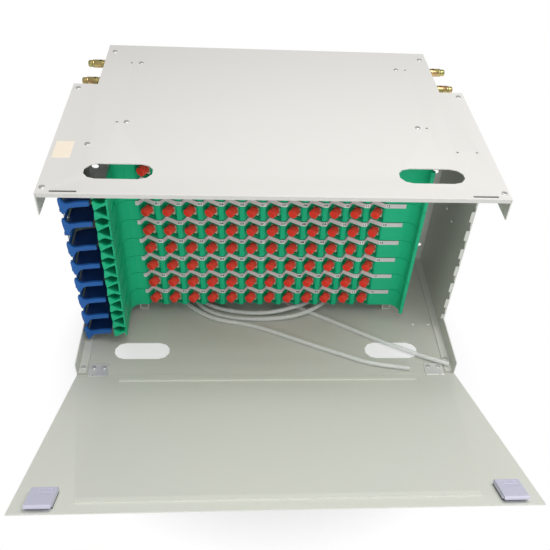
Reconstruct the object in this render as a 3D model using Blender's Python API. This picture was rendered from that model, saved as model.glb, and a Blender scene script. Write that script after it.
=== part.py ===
"""Rack-mount fibre patch unit: a sheet-metal case, a fold-down front door and eight sliding patch trays.

Frame: +Z is up, +X is to the right seen from the front, and the front faces -Y. The origin is on the
underside of the base plate, in the middle of its front edge. The trays are pushed in, and the door stands
part of the way open, its free edge raised.
"""

import math

import bmesh
import bpy
from mathutils import Matrix, Vector

MM = 0.001

# Case
SHEET = 1.2 * MM
WIDTH = 485.0 * MM
STEP_IN = 29.0 * MM
NARROW_WIDTH = WIDTH - 2 * STEP_IN
STEP_DEPTH = 226.0 * MM
REAR_DEPTH = 109.0 * MM
DEPTH = STEP_DEPTH + REAR_DEPTH
HEIGHT = 285.0 * MM
SEAT_GAP = 0.3 * MM
COVER_LIP = 4.5 * MM
FLANGE = 11.0 * MM
FLANGE_INSET = 0.3 * MM

# Openings in the cover and in the base
HAND_SLOT_LENGTH = 72.0 * MM
HAND_SLOT_WIDTH = 28.0 * MM
HAND_SLOT_INSET = 77.0 * MM
HAND_SLOT_X = WIDTH / 2 - HAND_SLOT_INSET
HAND_SLOT_Y = 41.0 * MM
VENT_RADIUS = 1.7 * MM
RAIL_SCREW_INSET = 3.6 * MM
RAIL_SCREW_ENDS = (20.5 * MM, 17.0 * MM)
SPARE_HOLE_STEP = 11.2 * MM
BAY_HOLE_INSETS = (38.0 * MM, 15.8 * MM)
BAY_HOLE_Y = 88.0 * MM

# Side walls
BOTTOM_STRIP = 22.7 * MM
TOP_STRIP = 26.5 * MM
CUTOUT_DEPTH = 79.0 * MM
NOTCHES = 8
NOTCH_HEIGHT = 14.0 * MM
EDGE_FLANGE = 5.0 * MM
NOTCH_DEPTH = 3.0 * MM
NOTCH_FOOT = 1.0 * MM
NOTCH_FOOT_HEIGHT = 5.0 * MM
WALL_HOLE_YS = (143.0 * MM, 171.0 * MM)
WALL_HOLE_RADIUS = 2.0 * MM
EAR_SLOT_INSET = 10.0 * MM
RACK_UNIT = 44.45 * MM
EAR_SLOT_UNITS = (-2.5, -0.5, 0.5, 2.5)
EAR_SLOT_LENGTH = 10.0 * MM
EAR_SLOT_WIDTH = 6.8 * MM

# Rear panel
CABLE_ENTRY_INSET = 63.5 * MM
CABLE_ENTRY_WIDTH = 60.0 * MM
CABLE_ENTRY_HEIGHT = 30.0 * MM
CABLE_ENTRY_DROP = 40.0 * MM

# Cable anchor posts on the narrow side walls
FRONT_POST_INSET = 26.5 * MM
REAR_POST_INSET = 35.0 * MM
POST_YS = (STEP_DEPTH + FRONT_POST_INSET, DEPTH - REAR_POST_INSET)
POST_DROP = 10.0 * MM
POST_RADIUS = 5.2 * MM
POST_LENGTH = 18.5 * MM
POST_CROSS_HOLE = 1.9 * MM
POST_CROSS_AT = 6.0 * MM
STUD_RADIUS = 2.2 * MM
STUD_LENGTH = 5.0 * MM
STUD_LAP = 1.2 * MM
CLAMP_BORE = 2.4 * MM
CLAMP_BORE_DEPTH = 10.0 * MM
CLAMP_HEAD_RADIUS = 4.4 * MM
CLAMP_HEAD_LENGTH = 5.5 * MM

# Trays
MOST_TRAYS = 8
TRAY_PITCH = 29.4 * MM
TRAY_BASE = 21.0 * MM
TRAY_TOP_ROOM = 28.0 * MM
TRAYS = min(MOST_TRAYS, int((HEIGHT - TRAY_BASE - TRAY_TOP_ROOM) / TRAY_PITCH))
TRAY_GAP = 0.6 * MM
TRAY_WALL = 1.8 * MM
TRAY_FLOOR = 1.8 * MM
FLOOR_SETBACK = 20.0 * MM
LEFT_SIDE_SETBACK = 3.4 * MM
RIGHT_SIDE_SETBACK = 1.7 * MM
TRAY_SIDE_ROOM = 81.9 * MM
TRAY_REAR_ROOM = 30.0 * MM
TRAY_HALF = WIDTH / 2 - TRAY_SIDE_ROOM
TRAY_REAR = DEPTH - TRAY_REAR_ROOM
TRAY_SIDE_HEIGHT = 24.0 * MM
RUNNER_REACH = 3.2 * MM
RUNNER_HEIGHT = 10.0 * MM
RUNNER_THICKNESS = 2.0 * MM
FACE_Y = 107.5 * MM
PORT_PITCH = 25.5 * MM
PORT_LEAD = 0.5 * MM
PORT_END_ROOM = 4.0 * MM
FIRST_PORT_X = -TRAY_HALF - PORT_LEAD
PORTS = int((2 * TRAY_HALF - PORT_END_ROOM) / PORT_PITCH)
TOOTH_BACK = 9.0 * MM
TOOTH_START = 0.3 * MM
TOOTH_PEAK = 5.9 * MM
TOOTH_END = 20.5 * MM
WINDOW_WIDTH = 12.4 * MM
WINDOW_BOTTOM = 3.0 * MM
WINDOW_TOP = 20.6 * MM
END_BEND = 13.0 * MM
LEFT_FLAT = 10.4 * MM
LEFT_FLAT_X = -TRAY_HALF - LEFT_FLAT
LEFT_WALL_X = LEFT_FLAT_X - END_BEND
LEFT_WALL_FRONT = 50.0 * MM
RIGHT_FLAT = 8.4 * MM
RIGHT_FLAT_X = TRAY_HALF + RIGHT_FLAT
RIGHT_WALL_X = RIGHT_FLAT_X + END_BEND
RIGHT_WALL_FRONT = 92.0 * MM
RIM_RADIUS = 2.6 * MM
BEND_STEPS = 4
CABLE_SLIT_BACK = 84.0 * MM
CABLE_SLIT_HEIGHT = 2.4 * MM
PRONG_LENGTH = 16.0 * MM
PRONG_TIP_X = LEFT_WALL_X - PRONG_LENGTH
PRONG_FRONT = 48.0 * MM
PRONG_BACK = 70.0 * MM
PRONG_MOUTH = 3.2 * MM
PRONG_TIP_SLANT = 1.0 * MM
PRONG_WAIST = 8.5 * MM
PRONG_WAIST_DROP = 5.6 * MM
PRONG_ROOT_DROP = 3.2 * MM
PRONG_ROOT_HEIGHT = 3.0 * MM
PRONG_THROAT = 9.0 * MM
PRONG_THROAT_DROP = 9.0 * MM

# Tray rails
RUNNER_GAP = 0.6 * MM
RAIL_INNER_X = TRAY_HALF + RUNNER_REACH + RUNNER_GAP
RAIL_WIDTH = 11.6 * MM
RAIL_OUTER_X = RAIL_INNER_X + RAIL_WIDTH
RAIL_SETBACK = 10.5 * MM
RAIL_FRONT = FACE_Y + RAIL_SETBACK
RAIL_SHORT = 3.0 * MM
RAIL_REAR = TRAY_REAR - RAIL_SHORT
RAIL_LIP = 8.0 * MM
LEDGE_THICKNESS = 1.5 * MM

# Adapters and dust caps
CAP_RADIUS = 5.7 * MM
CAP_START = 1.2 * MM
CAP_LENGTH = 10.0 * MM
CAP_SIDES = 6
PORT_HEIGHT = 14.2 * MM
CARRIER_THICKNESS = 2.0 * MM
CARRIER_HEIGHT = 9.0 * MM

# Label strips
LABEL_THICKNESS = 0.9 * MM
LABEL_HEIGHT = 6.0 * MM
LABEL_END = 4.4 * MM
LABEL_END_X = TRAY_HALF + LABEL_END
LABEL_TAB = 3.0 * MM

# Cable guides on the left wall's front edge
MOST_GUIDES = 8
GUIDE_BASE = 23.5 * MM
GUIDE_PITCH = 28.8 * MM
GUIDE_BREAK = 6
GUIDE_BREAK_STEP = 5.8 * MM
GUIDE_SPAN = HEIGHT - TOP_STRIP - GUIDE_BASE - GUIDE_BREAK_STEP
GUIDES = min(MOST_GUIDES, 1 + int(GUIDE_SPAN / GUIDE_PITCH))
GUIDE_INSET = 5.5 * MM
GUIDE_REACH = 32.0 * MM
GUIDE_TIP_X = GUIDE_INSET - WIDTH / 2
GUIDE_END_X = GUIDE_TIP_X + GUIDE_REACH
GUIDE_FRONT = 55.0 * MM
GUIDE_LIP = 3.0 * MM
GUIDE_SHELF = 36.0 * MM
GUIDE_BAR = 7.0 * MM
GUIDE_TAIL_UP = 6.5 * MM
GUIDE_TAIL_DOWN = 14.5 * MM
GUIDE_HOOK_OUT = 2.5 * MM
GUIDE_HOOK_DEPTH = 7.0 * MM
GUIDE_HOOK_HEIGHT = 4.5 * MM
GUIDE_HOOK_LOW = 0.5 * MM
GUIDE_HOOK_LAP = 2.0 * MM
GUIDE_HOOK_LEAD = 3.0 * MM
GUIDE_TOP_DROPS = ((12.0 * MM, 0.8 * MM), (22.0 * MM, 2.8 * MM))
GUIDE_UNDER_DROP = (14.0 * MM, 1.6 * MM)
GUIDE_THROAT = (5.0 * MM, 1.0 * MM)
GUIDE_TAIL_EDGE = 1.0 * MM
GUIDE_TAIL_OUT = 1.5 * MM
GUIDE_TAIL_WAIST = -6.0 * MM
GUIDE_TAIL_FOOT = (4.5 * MM, 2.0 * MM)
GUIDE_TAIL_HEEL = (9.0 * MM, -6.5 * MM)
GUIDE_SHELF_THICKNESS = 2.2 * MM
GUIDE_SHELF_RISE = 1.2 * MM
GUIDE_SHELF_SAG = -1.4 * MM
GUIDE_SHELF_LOW = -5.0 * MM

# Door and hinges
DOOR_SHORT = 4.0 * MM
DOOR_REACH = HEIGHT - DOOR_SHORT
DOOR_TILT = math.radians(26.2)
HINGE_Y = -2.7 * MM
HINGE_Z = 2.4 * MM
DOOR_FACE = 1.7 * MM
DOOR_HEEL = 1.5 * MM
DOOR_RIB_INSET = 55.5 * MM
DOOR_RIB_WIDTH = 6.0 * MM
DOOR_RIB_HEIGHT = 1.5 * MM
DOOR_RIB_ENDS = (14.5 * MM, 18.0 * MM)
DOOR_RIB_REACHES = (DOOR_RIB_ENDS[0], DOOR_REACH - DOOR_RIB_ENDS[1])
HINGE_INSET = 25.5 * MM
HINGE_X = WIDTH / 2 - HINGE_INSET
HINGE_LENGTH = 24.0 * MM
KNUCKLE_RADIUS = 2.2 * MM
KNUCKLE_BORE = 1.2 * MM
PIN_RADIUS = 0.9 * MM
KNUCKLE_SHARE = 6.0 * MM
LEAF_THICKNESS = 1.0 * MM
LEAF_DEPTH = 17.0 * MM
DOOR_LEAF_DEPTH = 14.0 * MM
HINGE_CLEARANCE = 0.5 * MM

# Door latches
LATCH_INSET = 27.2 * MM
LATCH_X = WIDTH / 2 - LATCH_INSET
LATCH_WIDTH = 23.5 * MM
LATCH_LENGTH = 31.0 * MM
LATCH_SETBACK = 1.0 * MM
LATCH_TIP = DOOR_REACH - LATCH_SETBACK
LATCH_REAR = LATCH_TIP - LATCH_LENGTH
LATCH_TOP = 9.2 * MM
LATCH_TONGUE = 3.2 * MM
LATCH_TONGUE_REACH = 6.0 * MM
LATCH_TRAVEL = 6.0 * MM
LATCH_BEVEL = 1.6 * MM
LATCH_SHELL = 1.6 * MM
GUIDE_PLATE_THICKNESS = 1.0 * MM
GUIDE_RAIL_WIDTH = 9.0 * MM
LATCH_SLOT_LENGTH = 27.0 * MM
LATCH_SLOT_WIDTH = 2.8 * MM

# Protective hose lying loose on the base
HOSE_RADIUS = 3.0 * MM
HOSE_STEP = 28.8 * MM
FINE_STEPS = 20
HOSE_ROUTE_MM = (
    (238.0, 11.5, 6.4),
    (221.0, 19.5, 6.4),
    (201.0, 29.0, 5.2),
    (146.0, 58.0, 4.6),
    (100.0, 85.0, 4.6),
    (52.0, 113.0, 4.6),
    (4.0, 140.0, 4.6),
    (-45.0, 160.0, 4.6),
    (-86.0, 160.0, 5.0),
    (-96.0, 136.0, 5.6),
    (-72.0, 117.0, 5.6),
    (-36.0, 107.0, 5.6),
    (0.0, 104.5, 7.6),
    (34.0, 110.0, 11.8),
    (64.0, 127.0, 10.4),
    (82.0, 160.0, 5.6),
    (84.0, 205.0, 4.6),
    (62.0, 248.0, 4.6),
    (20.0, 272.0, 4.6),
    (-32.0, 275.0, 4.6),
    (-78.0, 254.0, 4.6),
    (-106.0, 214.0, 4.6),
    (-111.0, 168.0, 4.6),
    (-99.0, 130.0, 6.4),
    (-79.0, 108.0, 5.6),
    (-45.0, 97.0, 4.6),
    (0.0, 95.0, 5.2),
    (40.0, 98.0, 9.4),
    (74.0, 115.0, 12.2),
    (96.0, 150.0, 7.4),
    (100.0, 200.0, 4.6),
    (84.0, 250.0, 4.6),
    (40.0, 285.0, 4.6),
    (-30.0, 291.0, 4.6),
    (-90.0, 268.0, 4.6),
    (-122.0, 222.0, 4.6),
    (-128.0, 170.0, 4.6),
    (-112.0, 126.0, 5.2),
    (-81.0, 99.0, 6.0),
    (-58.0, 91.5, 4.8),
    (-33.0, 86.0, 4.6),
    (-8.0, 78.0, 4.6),
    (23.0, 64.0, 4.6),
    (69.0, 43.0, 4.6),
    (101.0, 29.0, 4.6),
    (134.0, 16.0, 4.6),
    (184.0, 6.5, 4.6),
)


def clear_scene():
    """Start from an empty file."""
    for item in list(bpy.data.objects):
        bpy.data.objects.remove(item, do_unlink=True)


def material(name, colour, roughness, metallic=0.0):
    """A plain Principled material."""
    made = bpy.data.materials.new(name)
    made.use_nodes = True
    shader = made.node_tree.nodes["Principled BSDF"]
    shader.inputs["Base Color"].default_value = (*colour, 1.0)
    shader.inputs["Roughness"].default_value = roughness
    shader.inputs["Metallic"].default_value = metallic
    return made


def make_materials():
    """Every finish on the unit, by name."""
    return {
        "coat": material("coat", (0.72, 0.71, 0.67), 0.5),
        "zinc": material("zinc", (0.55, 0.55, 0.54), 0.35, 0.9),
        "yellow_zinc": material("yellow_zinc", (0.62, 0.50, 0.22), 0.3, 0.9),
        "tray": material("tray", (0.01, 0.42, 0.20), 0.4),
        "cap": material("cap", (0.72, 0.03, 0.02), 0.35),
        "label": material("label", (0.52, 0.48, 0.50), 0.5),
        "guide": material("guide", (0.02, 0.10, 0.38), 0.4),
        "latch": material("latch", (0.52, 0.52, 0.64), 0.4),
        "black": material("black", (0.02, 0.02, 0.02), 0.5),
        "hose": material("hose", (0.62, 0.66, 0.64), 0.25),
    }


def mesh_object(name, shape):
    """Turn a bmesh into an object, with its faces pointing out."""
    bmesh.ops.recalc_face_normals(shape, faces=shape.faces)
    data = bpy.data.meshes.new(name)
    shape.to_mesh(data)
    shape.free()
    made = bpy.data.objects.new(name, data)
    bpy.context.scene.collection.objects.link(made)
    return made


def prism(outline, low, high, axis="Z", name="prism"):
    """A flat outline extruded along an axis. Its points are (x, y), (y, z) or (x, z), as the axis leaves."""
    place = {
        "X": lambda a, b, c: (c, a, b),
        "Y": lambda a, b, c: (a, c, b),
        "Z": lambda a, b, c: (a, b, c),
    }[axis]
    shape = bmesh.new()
    bottom = [shape.verts.new(place(a, b, low)) for a, b in outline]
    top = [shape.verts.new(place(a, b, high)) for a, b in outline]
    shape.faces.new(bottom)
    shape.faces.new(top[::-1])
    for index in range(len(outline)):
        after = (index + 1) % len(outline)
        shape.faces.new((bottom[index], top[index], top[after], bottom[after]))
    return mesh_object(name, shape)


def box(low, high):
    """A rectangular block between two corners."""
    outline = [(low[0], low[1]), (high[0], low[1]), (high[0], high[1]), (low[0], high[1])]
    return prism(outline, low[2], high[2], name="block")


def cylinder(start, end, radius, sides=12, name="cylinder"):
    """A cylinder between two points."""
    start = Vector(start)
    end = Vector(end)
    shape = bmesh.new()
    length = (end - start).length
    bmesh.ops.create_cone(
        shape, cap_ends=True, segments=sides, radius1=radius, radius2=radius, depth=length
    )
    turn = (end - start).to_track_quat("Z", "Y").to_matrix().to_4x4()
    place = Matrix.Translation((start + end) / 2) @ turn
    bmesh.ops.transform(shape, matrix=place, verts=shape.verts)
    return mesh_object(name, shape)


def stadium(centre_x, centre_y, length, width, steps=5):
    """The outline of a slot with round ends, its length along the first axis."""
    radius = width / 2
    reach = length / 2 - radius
    points = []
    for side in (1, -1):
        for step in range(steps + 1):
            angle = -math.pi / 2 + math.pi * step / steps
            x = centre_x + side * (reach + radius * math.cos(angle))
            y = centre_y + side * radius * math.sin(angle)
            points.append((x, y))
    return points


def combine(name, first, joined=(), cut=(), finish=None, place=(0, 0, 0)):
    """One solid: the first shape with others joined to it and others cut from it."""
    for operation, shapes in (("UNION", joined), ("DIFFERENCE", cut)):
        for other in shapes:
            change = first.modifiers.new(operation.lower(), "BOOLEAN")
            change.operation = operation
            change.object = other
            change.solver = "EXACT"
    bpy.context.view_layer.update()
    graph = bpy.context.evaluated_depsgraph_get()
    solid = bpy.data.meshes.new_from_object(first.evaluated_get(graph))
    for used in (first, *joined, *cut):
        bpy.data.objects.remove(used, do_unlink=True)
    solid.name = name
    solid.materials.clear()
    solid.materials.append(finish)
    made = bpy.data.objects.new(name, solid)
    made.location = place
    bpy.context.scene.collection.objects.link(made)
    return made


def copy_of(source, name, place, turn=0.0):
    """Another piece with the same mesh, turned about Z."""
    made = bpy.data.objects.new(name, source.data)
    made.location = place
    made.rotation_euler = (0.0, 0.0, turn)
    bpy.context.scene.collection.objects.link(made)
    return made


def case_outline():
    """The stepped outline shared by the cover and the base."""
    wide = WIDTH / 2
    narrow = NARROW_WIDTH / 2
    return [
        (-wide, 0.0),
        (wide, 0.0),
        (wide, STEP_DEPTH),
        (narrow, STEP_DEPTH),
        (narrow, DEPTH),
        (-narrow, DEPTH),
        (-narrow, STEP_DEPTH),
        (-wide, STEP_DEPTH),
    ]


def hand_slots(low, high):
    """Cutters for the two oval slots near the front."""
    return [
        prism(stadium(side * HAND_SLOT_X, HAND_SLOT_Y, HAND_SLOT_LENGTH, HAND_SLOT_WIDTH), low, high)
        for side in (-1, 1)
    ]


def drill(x, y, low, high, radius=VENT_RADIUS):
    """A cutter for a small round hole along Z."""
    return cylinder((x, y, low), (x, y, high), radius, sides=8)


def latch_slot_range():
    """The front and the back of the slots above the latch tongues of the shut door."""
    middle = HINGE_Y + LATCH_TOP - LATCH_TONGUE / 2
    return middle - LATCH_SLOT_WIDTH / 2, middle + LATCH_SLOT_WIDTH / 2


def make_base_plate(finish):
    """The bottom sheet, with two oval slots and two small holes."""
    plate = prism(case_outline(), 0.0, SHEET)
    cuts = hand_slots(-SHEET, 2 * SHEET)
    for inset in BAY_HOLE_INSETS:
        cuts.append(drill(WIDTH / 2 - inset, BAY_HOLE_Y, -SHEET, 2 * SHEET))
    return combine("base_plate", plate, cut=cuts, finish=finish)


def make_top_cover(finish):
    """The top sheet, with its front lip, oval slots, latch slots and spare holes."""
    low = HEIGHT - SHEET
    plate = prism(case_outline(), low, HEIGHT)
    half = WIDTH / 2 - SHEET - SEAT_GAP
    lip = box((-half, 0.0, HEIGHT - COVER_LIP), (half, SHEET, HEIGHT - SHEET / 2))
    below = HEIGHT - 2 * SHEET
    above = HEIGHT + SHEET
    cuts = hand_slots(below, above)
    front, back = latch_slot_range()
    for side in (-1, 1):
        middle = side * LATCH_X
        cuts.append(
            box(
                (middle - LATCH_SLOT_LENGTH / 2, front, below),
                (middle + LATCH_SLOT_LENGTH / 2, back, above),
            )
        )
        x = side * (RAIL_INNER_X + RAIL_SCREW_INSET + SPARE_HOLE_STEP)
        for y in (RAIL_FRONT + RAIL_SCREW_ENDS[0], RAIL_REAR - RAIL_SCREW_ENDS[1]):
            cuts.append(drill(x, y, below, above))
    for inset in BAY_HOLE_INSETS:
        cuts.append(drill(WIDTH / 2 - inset, BAY_HOLE_Y, below, above))
    return combine("top_cover", plate, joined=[lip], cut=cuts, finish=finish)


def make_rear_panel(finish):
    """The sheet across the back, with two cable entries."""
    half = NARROW_WIDTH / 2 - SHEET - SEAT_GAP
    low = SHEET + SEAT_GAP
    high = HEIGHT - SHEET - SEAT_GAP
    panel = box((-half, DEPTH - SHEET, low), (half, DEPTH, high))
    top = HEIGHT - CABLE_ENTRY_DROP + CABLE_ENTRY_HEIGHT / 2
    cuts = []
    for side in (-1, 1):
        middle = side * (NARROW_WIDTH / 2 - CABLE_ENTRY_INSET)
        cuts.append(
            box(
                (middle - CABLE_ENTRY_WIDTH / 2, DEPTH - 2 * SHEET, top - CABLE_ENTRY_HEIGHT),
                (middle + CABLE_ENTRY_WIDTH / 2, DEPTH + SHEET, top),
            )
        )
    return combine("rear_panel", panel, cut=cuts, finish=finish)


def front_opening_outline():
    """The open front of a side wall as (y, z)."""
    ahead = -SHEET
    bottom = BOTTOM_STRIP
    top = HEIGHT - TOP_STRIP
    return [(ahead, bottom), (CUTOUT_DEPTH, bottom), (CUTOUT_DEPTH, top), (ahead, top)]


def edge_flange_outline(side):
    """The flange along the open front's back edge as (x, z), its inner side notched for cable guides."""
    wall = WIDTH / 2 - SHEET / 2
    inner = WIDTH / 2 - EDGE_FLANGE
    notch = inner + NOTCH_DEPTH
    foot = notch + NOTCH_FOOT
    bottom = BOTTOM_STRIP
    top = HEIGHT - TOP_STRIP
    step = (top - bottom) / NOTCHES
    points = [(wall, top), (wall, bottom), (inner, bottom)]
    for index in range(NOTCHES):
        low = bottom + step * (index + 0.5) - NOTCH_HEIGHT / 2
        points += [
            (inner, low),
            (foot, low),
            (foot, low + NOTCH_FOOT_HEIGHT),
            (notch, low + NOTCH_FOOT_HEIGHT),
            (notch, low + NOTCH_HEIGHT),
            (inner, low + NOTCH_HEIGHT),
        ]
    points.append((inner, top))
    return [(side * x, z) for x, z in points]


def make_side_wall(name, side, finish):
    """One bent sheet: the wide wall, the rack ear at the step, the narrow wall and their flanges."""
    wide = WIDTH / 2
    narrow = NARROW_WIDTH / 2
    low = SHEET + SEAT_GAP
    high = HEIGHT - SHEET - SEAT_GAP

    def block(inner, outer, front, back, bottom, top):
        left = min(side * inner, side * outer)
        right = max(side * inner, side * outer)
        return box((left, front, bottom), (right, back, top))

    plan = [
        (wide - SHEET, 0.0),
        (wide, 0.0),
        (wide, STEP_DEPTH),
        (narrow, STEP_DEPTH),
        (narrow, DEPTH),
        (narrow - SHEET, DEPTH),
        (narrow - SHEET, STEP_DEPTH - SHEET),
        (wide - SHEET, STEP_DEPTH - SHEET),
    ]
    wall = prism([(side * x, y) for x, y in plan], low, high)
    fold = STEP_DEPTH - SHEET / 2
    joined = [prism(edge_flange_outline(side), CUTOUT_DEPTH, CUTOUT_DEPTH + SHEET, axis="Y")]
    for bottom in (low + FLANGE_INSET, high - FLANGE_INSET - SHEET):
        top = bottom + SHEET
        joined.append(block(wide - FLANGE, wide - SHEET / 2, 2 * SHEET, fold, bottom, top))
        joined.append(block(narrow - FLANGE, narrow - SHEET / 2, fold, DEPTH - 2 * SHEET, bottom, top))
    reach = (side * (wide - 2 * SHEET), side * (wide + SHEET))
    opening = prism(front_opening_outline(), min(reach), max(reach), axis="X")
    cuts = [opening]
    for y in WALL_HOLE_YS:
        start = (side * (wide - 2 * SHEET), y, HEIGHT / 2)
        end = (side * (wide + SHEET), y, HEIGHT / 2)
        cuts.append(cylinder(start, end, WALL_HOLE_RADIUS, sides=8))
    for units in EAR_SLOT_UNITS:
        z = HEIGHT / 2 + units * RACK_UNIT
        x = side * (wide - EAR_SLOT_INSET)
        outline = stadium(x, z, EAR_SLOT_LENGTH, EAR_SLOT_WIDTH, steps=3)
        cuts.append(prism(outline, STEP_DEPTH - 2 * SHEET, STEP_DEPTH + SHEET, axis="Y"))
    for y in POST_YS:
        start = (side * (narrow - 2 * SHEET), y, HEIGHT - POST_DROP)
        end = (side * (narrow + SHEET), y, HEIGHT - POST_DROP)
        cuts.append(cylinder(start, end, STUD_RADIUS + SEAT_GAP, sides=10))
    return combine(name, wall, joined=joined, cut=cuts, finish=finish)


def make_anchor_posts(finish):
    """Four posts that hold a cable's strength member, each with its clamp screw."""
    outer = POST_LENGTH
    post = cylinder((SEAT_GAP, 0, 0), (outer, 0, 0), POST_RADIUS, sides=14)
    stud = cylinder((SEAT_GAP - STUD_LENGTH, 0, 0), (STUD_LAP, 0, 0), STUD_RADIUS, sides=10)
    bore = cylinder((outer - CLAMP_BORE_DEPTH, 0, 0), (outer + SEAT_GAP, 0, 0), CLAMP_BORE, sides=10)
    past = 2 * POST_RADIUS
    cross = cylinder((POST_CROSS_AT, 0, -past), (POST_CROSS_AT, 0, past), POST_CROSS_HOLE, sides=6)
    z = HEIGHT - POST_DROP
    wall = NARROW_WIDTH / 2
    head_start = outer + SEAT_GAP
    head = cylinder(
        (head_start, 0, 0), (head_start + CLAMP_HEAD_LENGTH, 0, 0), CLAMP_HEAD_RADIUS, sides=12
    )
    shank_start = outer - CLAMP_BORE_DEPTH + POST_CROSS_HOLE
    shank = cylinder(
        (shank_start, 0, 0), (head_start + SEAT_GAP, 0, 0), CLAMP_BORE - SEAT_GAP, sides=10
    )
    first_post = combine(
        "anchor_post_right_front", post, joined=[stud], cut=[bore, cross], finish=finish,
        place=(wall, POST_YS[0], z),
    )
    first_screw = combine(
        "clamp_screw_right_front", head, joined=[shank], finish=finish, place=(wall, POST_YS[0], z)
    )
    for side, side_name in ((1, "right"), (-1, "left")):
        for y, row in zip(POST_YS, ("front", "rear")):
            if side == 1 and row == "front":
                continue
            turn = 0.0 if side == 1 else math.pi
            place = (side * wall, y, z)
            copy_of(first_post, f"anchor_post_{side_name}_{row}", place, turn)
            copy_of(first_screw, f"clamp_screw_{side_name}_{row}", place, turn)


def make_tray_rail(name, side, finish):
    """A channel from base to cover, with one ledge under each tray's runner."""
    low = SHEET + SEAT_GAP
    high = HEIGHT - SHEET - SEAT_GAP

    def block(inner, outer, bottom, top, front=RAIL_FRONT, back=RAIL_REAR):
        left = min(side * inner, side * outer)
        right = max(side * inner, side * outer)
        return box((left, front, bottom), (right, back, top))

    web = block(RAIL_INNER_X, RAIL_INNER_X + SHEET, low, high)
    joined = [
        block(RAIL_INNER_X, RAIL_OUTER_X, low, low + SHEET),
        block(RAIL_INNER_X, RAIL_OUTER_X, high - SHEET, high),
        block(RAIL_OUTER_X - SHEET, RAIL_OUTER_X, low, low + RAIL_LIP),
    ]
    for index in range(TRAYS):
        top = TRAY_BASE + TRAY_PITCH * index + RUNNER_HEIGHT - SEAT_GAP
        joined.append(
            block(TRAY_HALF + SEAT_GAP, RAIL_INNER_X + SHEET / 2, top - LEDGE_THICKNESS, top)
        )
    return combine(name, web, joined=joined, finish=finish)


def port_start(index):
    """The left end of one port's stretch of the tray's face."""
    return FIRST_PORT_X + PORT_PITCH * index


def offset_line(line, distance):
    """The same line moved to its left by a distance, with mitred corners."""
    points = [Vector(point) for point in line]
    normals = []
    for one, other in zip(points, points[1:]):
        along = (other - one).normalized()
        normals.append(Vector((-along.y, along.x)))
    moved = []
    for index, point in enumerate(points):
        before = normals[max(index - 1, 0)]
        after = normals[min(index, len(normals) - 1)]
        mitre = (before + after).normalized()
        shifted = point + mitre * (distance / mitre.dot(before))
        moved.append((shifted.x, shifted.y))
    return moved


def face_line():
    """The toothed front of a tray seen from above, from its left end to its right end."""
    points = [(FIRST_PORT_X + TOOTH_START, FACE_Y)]
    for index in range(PORTS):
        x = port_start(index)
        points.append((x + TOOTH_PEAK, FACE_Y + TOOTH_BACK))
        points.append((x + TOOTH_END, FACE_Y))
        points.append((x + PORT_PITCH + TOOTH_START, FACE_Y))
    return points


def arc(centre, radius, start, end, steps):
    """Points on an arc, angles in degrees."""
    points = []
    for step in range(steps + 1):
        angle = math.radians(start + (end - start) * step / steps)
        points.append((centre[0] + radius * math.cos(angle), centre[1] + radius * math.sin(angle)))
    return points


def left_end_outline():
    """The tray's left end seen from above: a flat, a quarter bend and a wall running forward."""
    outer = LEFT_FLAT_X - LEFT_WALL_X
    centre = (LEFT_FLAT_X, FACE_Y - outer)
    start_x = FIRST_PORT_X + TOOTH_START
    points = [(start_x, FACE_Y), *arc(centre, outer, 90, 180, BEND_STEPS), (LEFT_WALL_X, LEFT_WALL_FRONT)]
    points += [(LEFT_WALL_X - TRAY_WALL, LEFT_WALL_FRONT)]
    points += [*arc(centre, outer + TRAY_WALL, 180, 90, BEND_STEPS), (start_x, FACE_Y + TRAY_WALL)]
    return points


def right_end_outline():
    """The tray's right end seen from above: a flat and a quarter bend running forward."""
    outer = RIGHT_WALL_X - RIGHT_FLAT_X
    centre = (RIGHT_FLAT_X, FACE_Y - outer)
    start_x = port_start(PORTS)
    points = [(start_x, FACE_Y + TRAY_WALL), *arc(centre, outer + TRAY_WALL, 90, 0, BEND_STEPS)]
    points += [(RIGHT_WALL_X + TRAY_WALL, RIGHT_WALL_FRONT), (RIGHT_WALL_X, RIGHT_WALL_FRONT)]
    points += [*arc(centre, outer, 0, 90, BEND_STEPS), (start_x, FACE_Y)]
    return points


def prong_outline(bottom, up):
    """A cable-retaining prong seen from the front. It starts at the tray's bottom or top edge."""
    wall = LEFT_WALL_X - TRAY_WALL / 2
    middle = (TRAY_PITCH - TRAY_GAP) / 2
    root = middle - PRONG_ROOT_DROP
    heights = (
        (PRONG_TIP_X + PRONG_TIP_SLANT, 0.0),
        (PRONG_TIP_X, middle - PRONG_MOUTH / 2),
        (PRONG_TIP_X + PRONG_WAIST, middle - PRONG_WAIST_DROP),
        (wall, root),
        (wall, root - PRONG_ROOT_HEIGHT),
        (PRONG_TIP_X + PRONG_THROAT, middle - PRONG_THROAT_DROP),
    )
    return [(x, bottom + up * height) for x, height in heights]


def port_frame(index):
    """The middle of a port's slanted stretch, and its outward and sideways directions."""
    x = port_start(index)
    first = Vector((x + TOOTH_PEAK, FACE_Y + TOOTH_BACK, 0.0))
    last = Vector((x + TOOTH_END, FACE_Y, 0.0))
    along = (last - first).normalized()
    outward = Vector((along.y, -along.x, 0.0))
    if outward.y > 0:
        outward = -outward
    return (first + last) / 2, outward, along


def slanted_box(index, near, far, width, bottom, top):
    """A block square to a port's stretch, from near to far along its outward direction."""
    middle, outward, along = port_frame(index)
    half = along * (width / 2)
    corners = [
        middle + outward * near - half,
        middle + outward * near + half,
        middle + outward * far + half,
        middle + outward * far - half,
    ]
    return prism([(corner.x, corner.y) for corner in corners], bottom, top)


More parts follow.
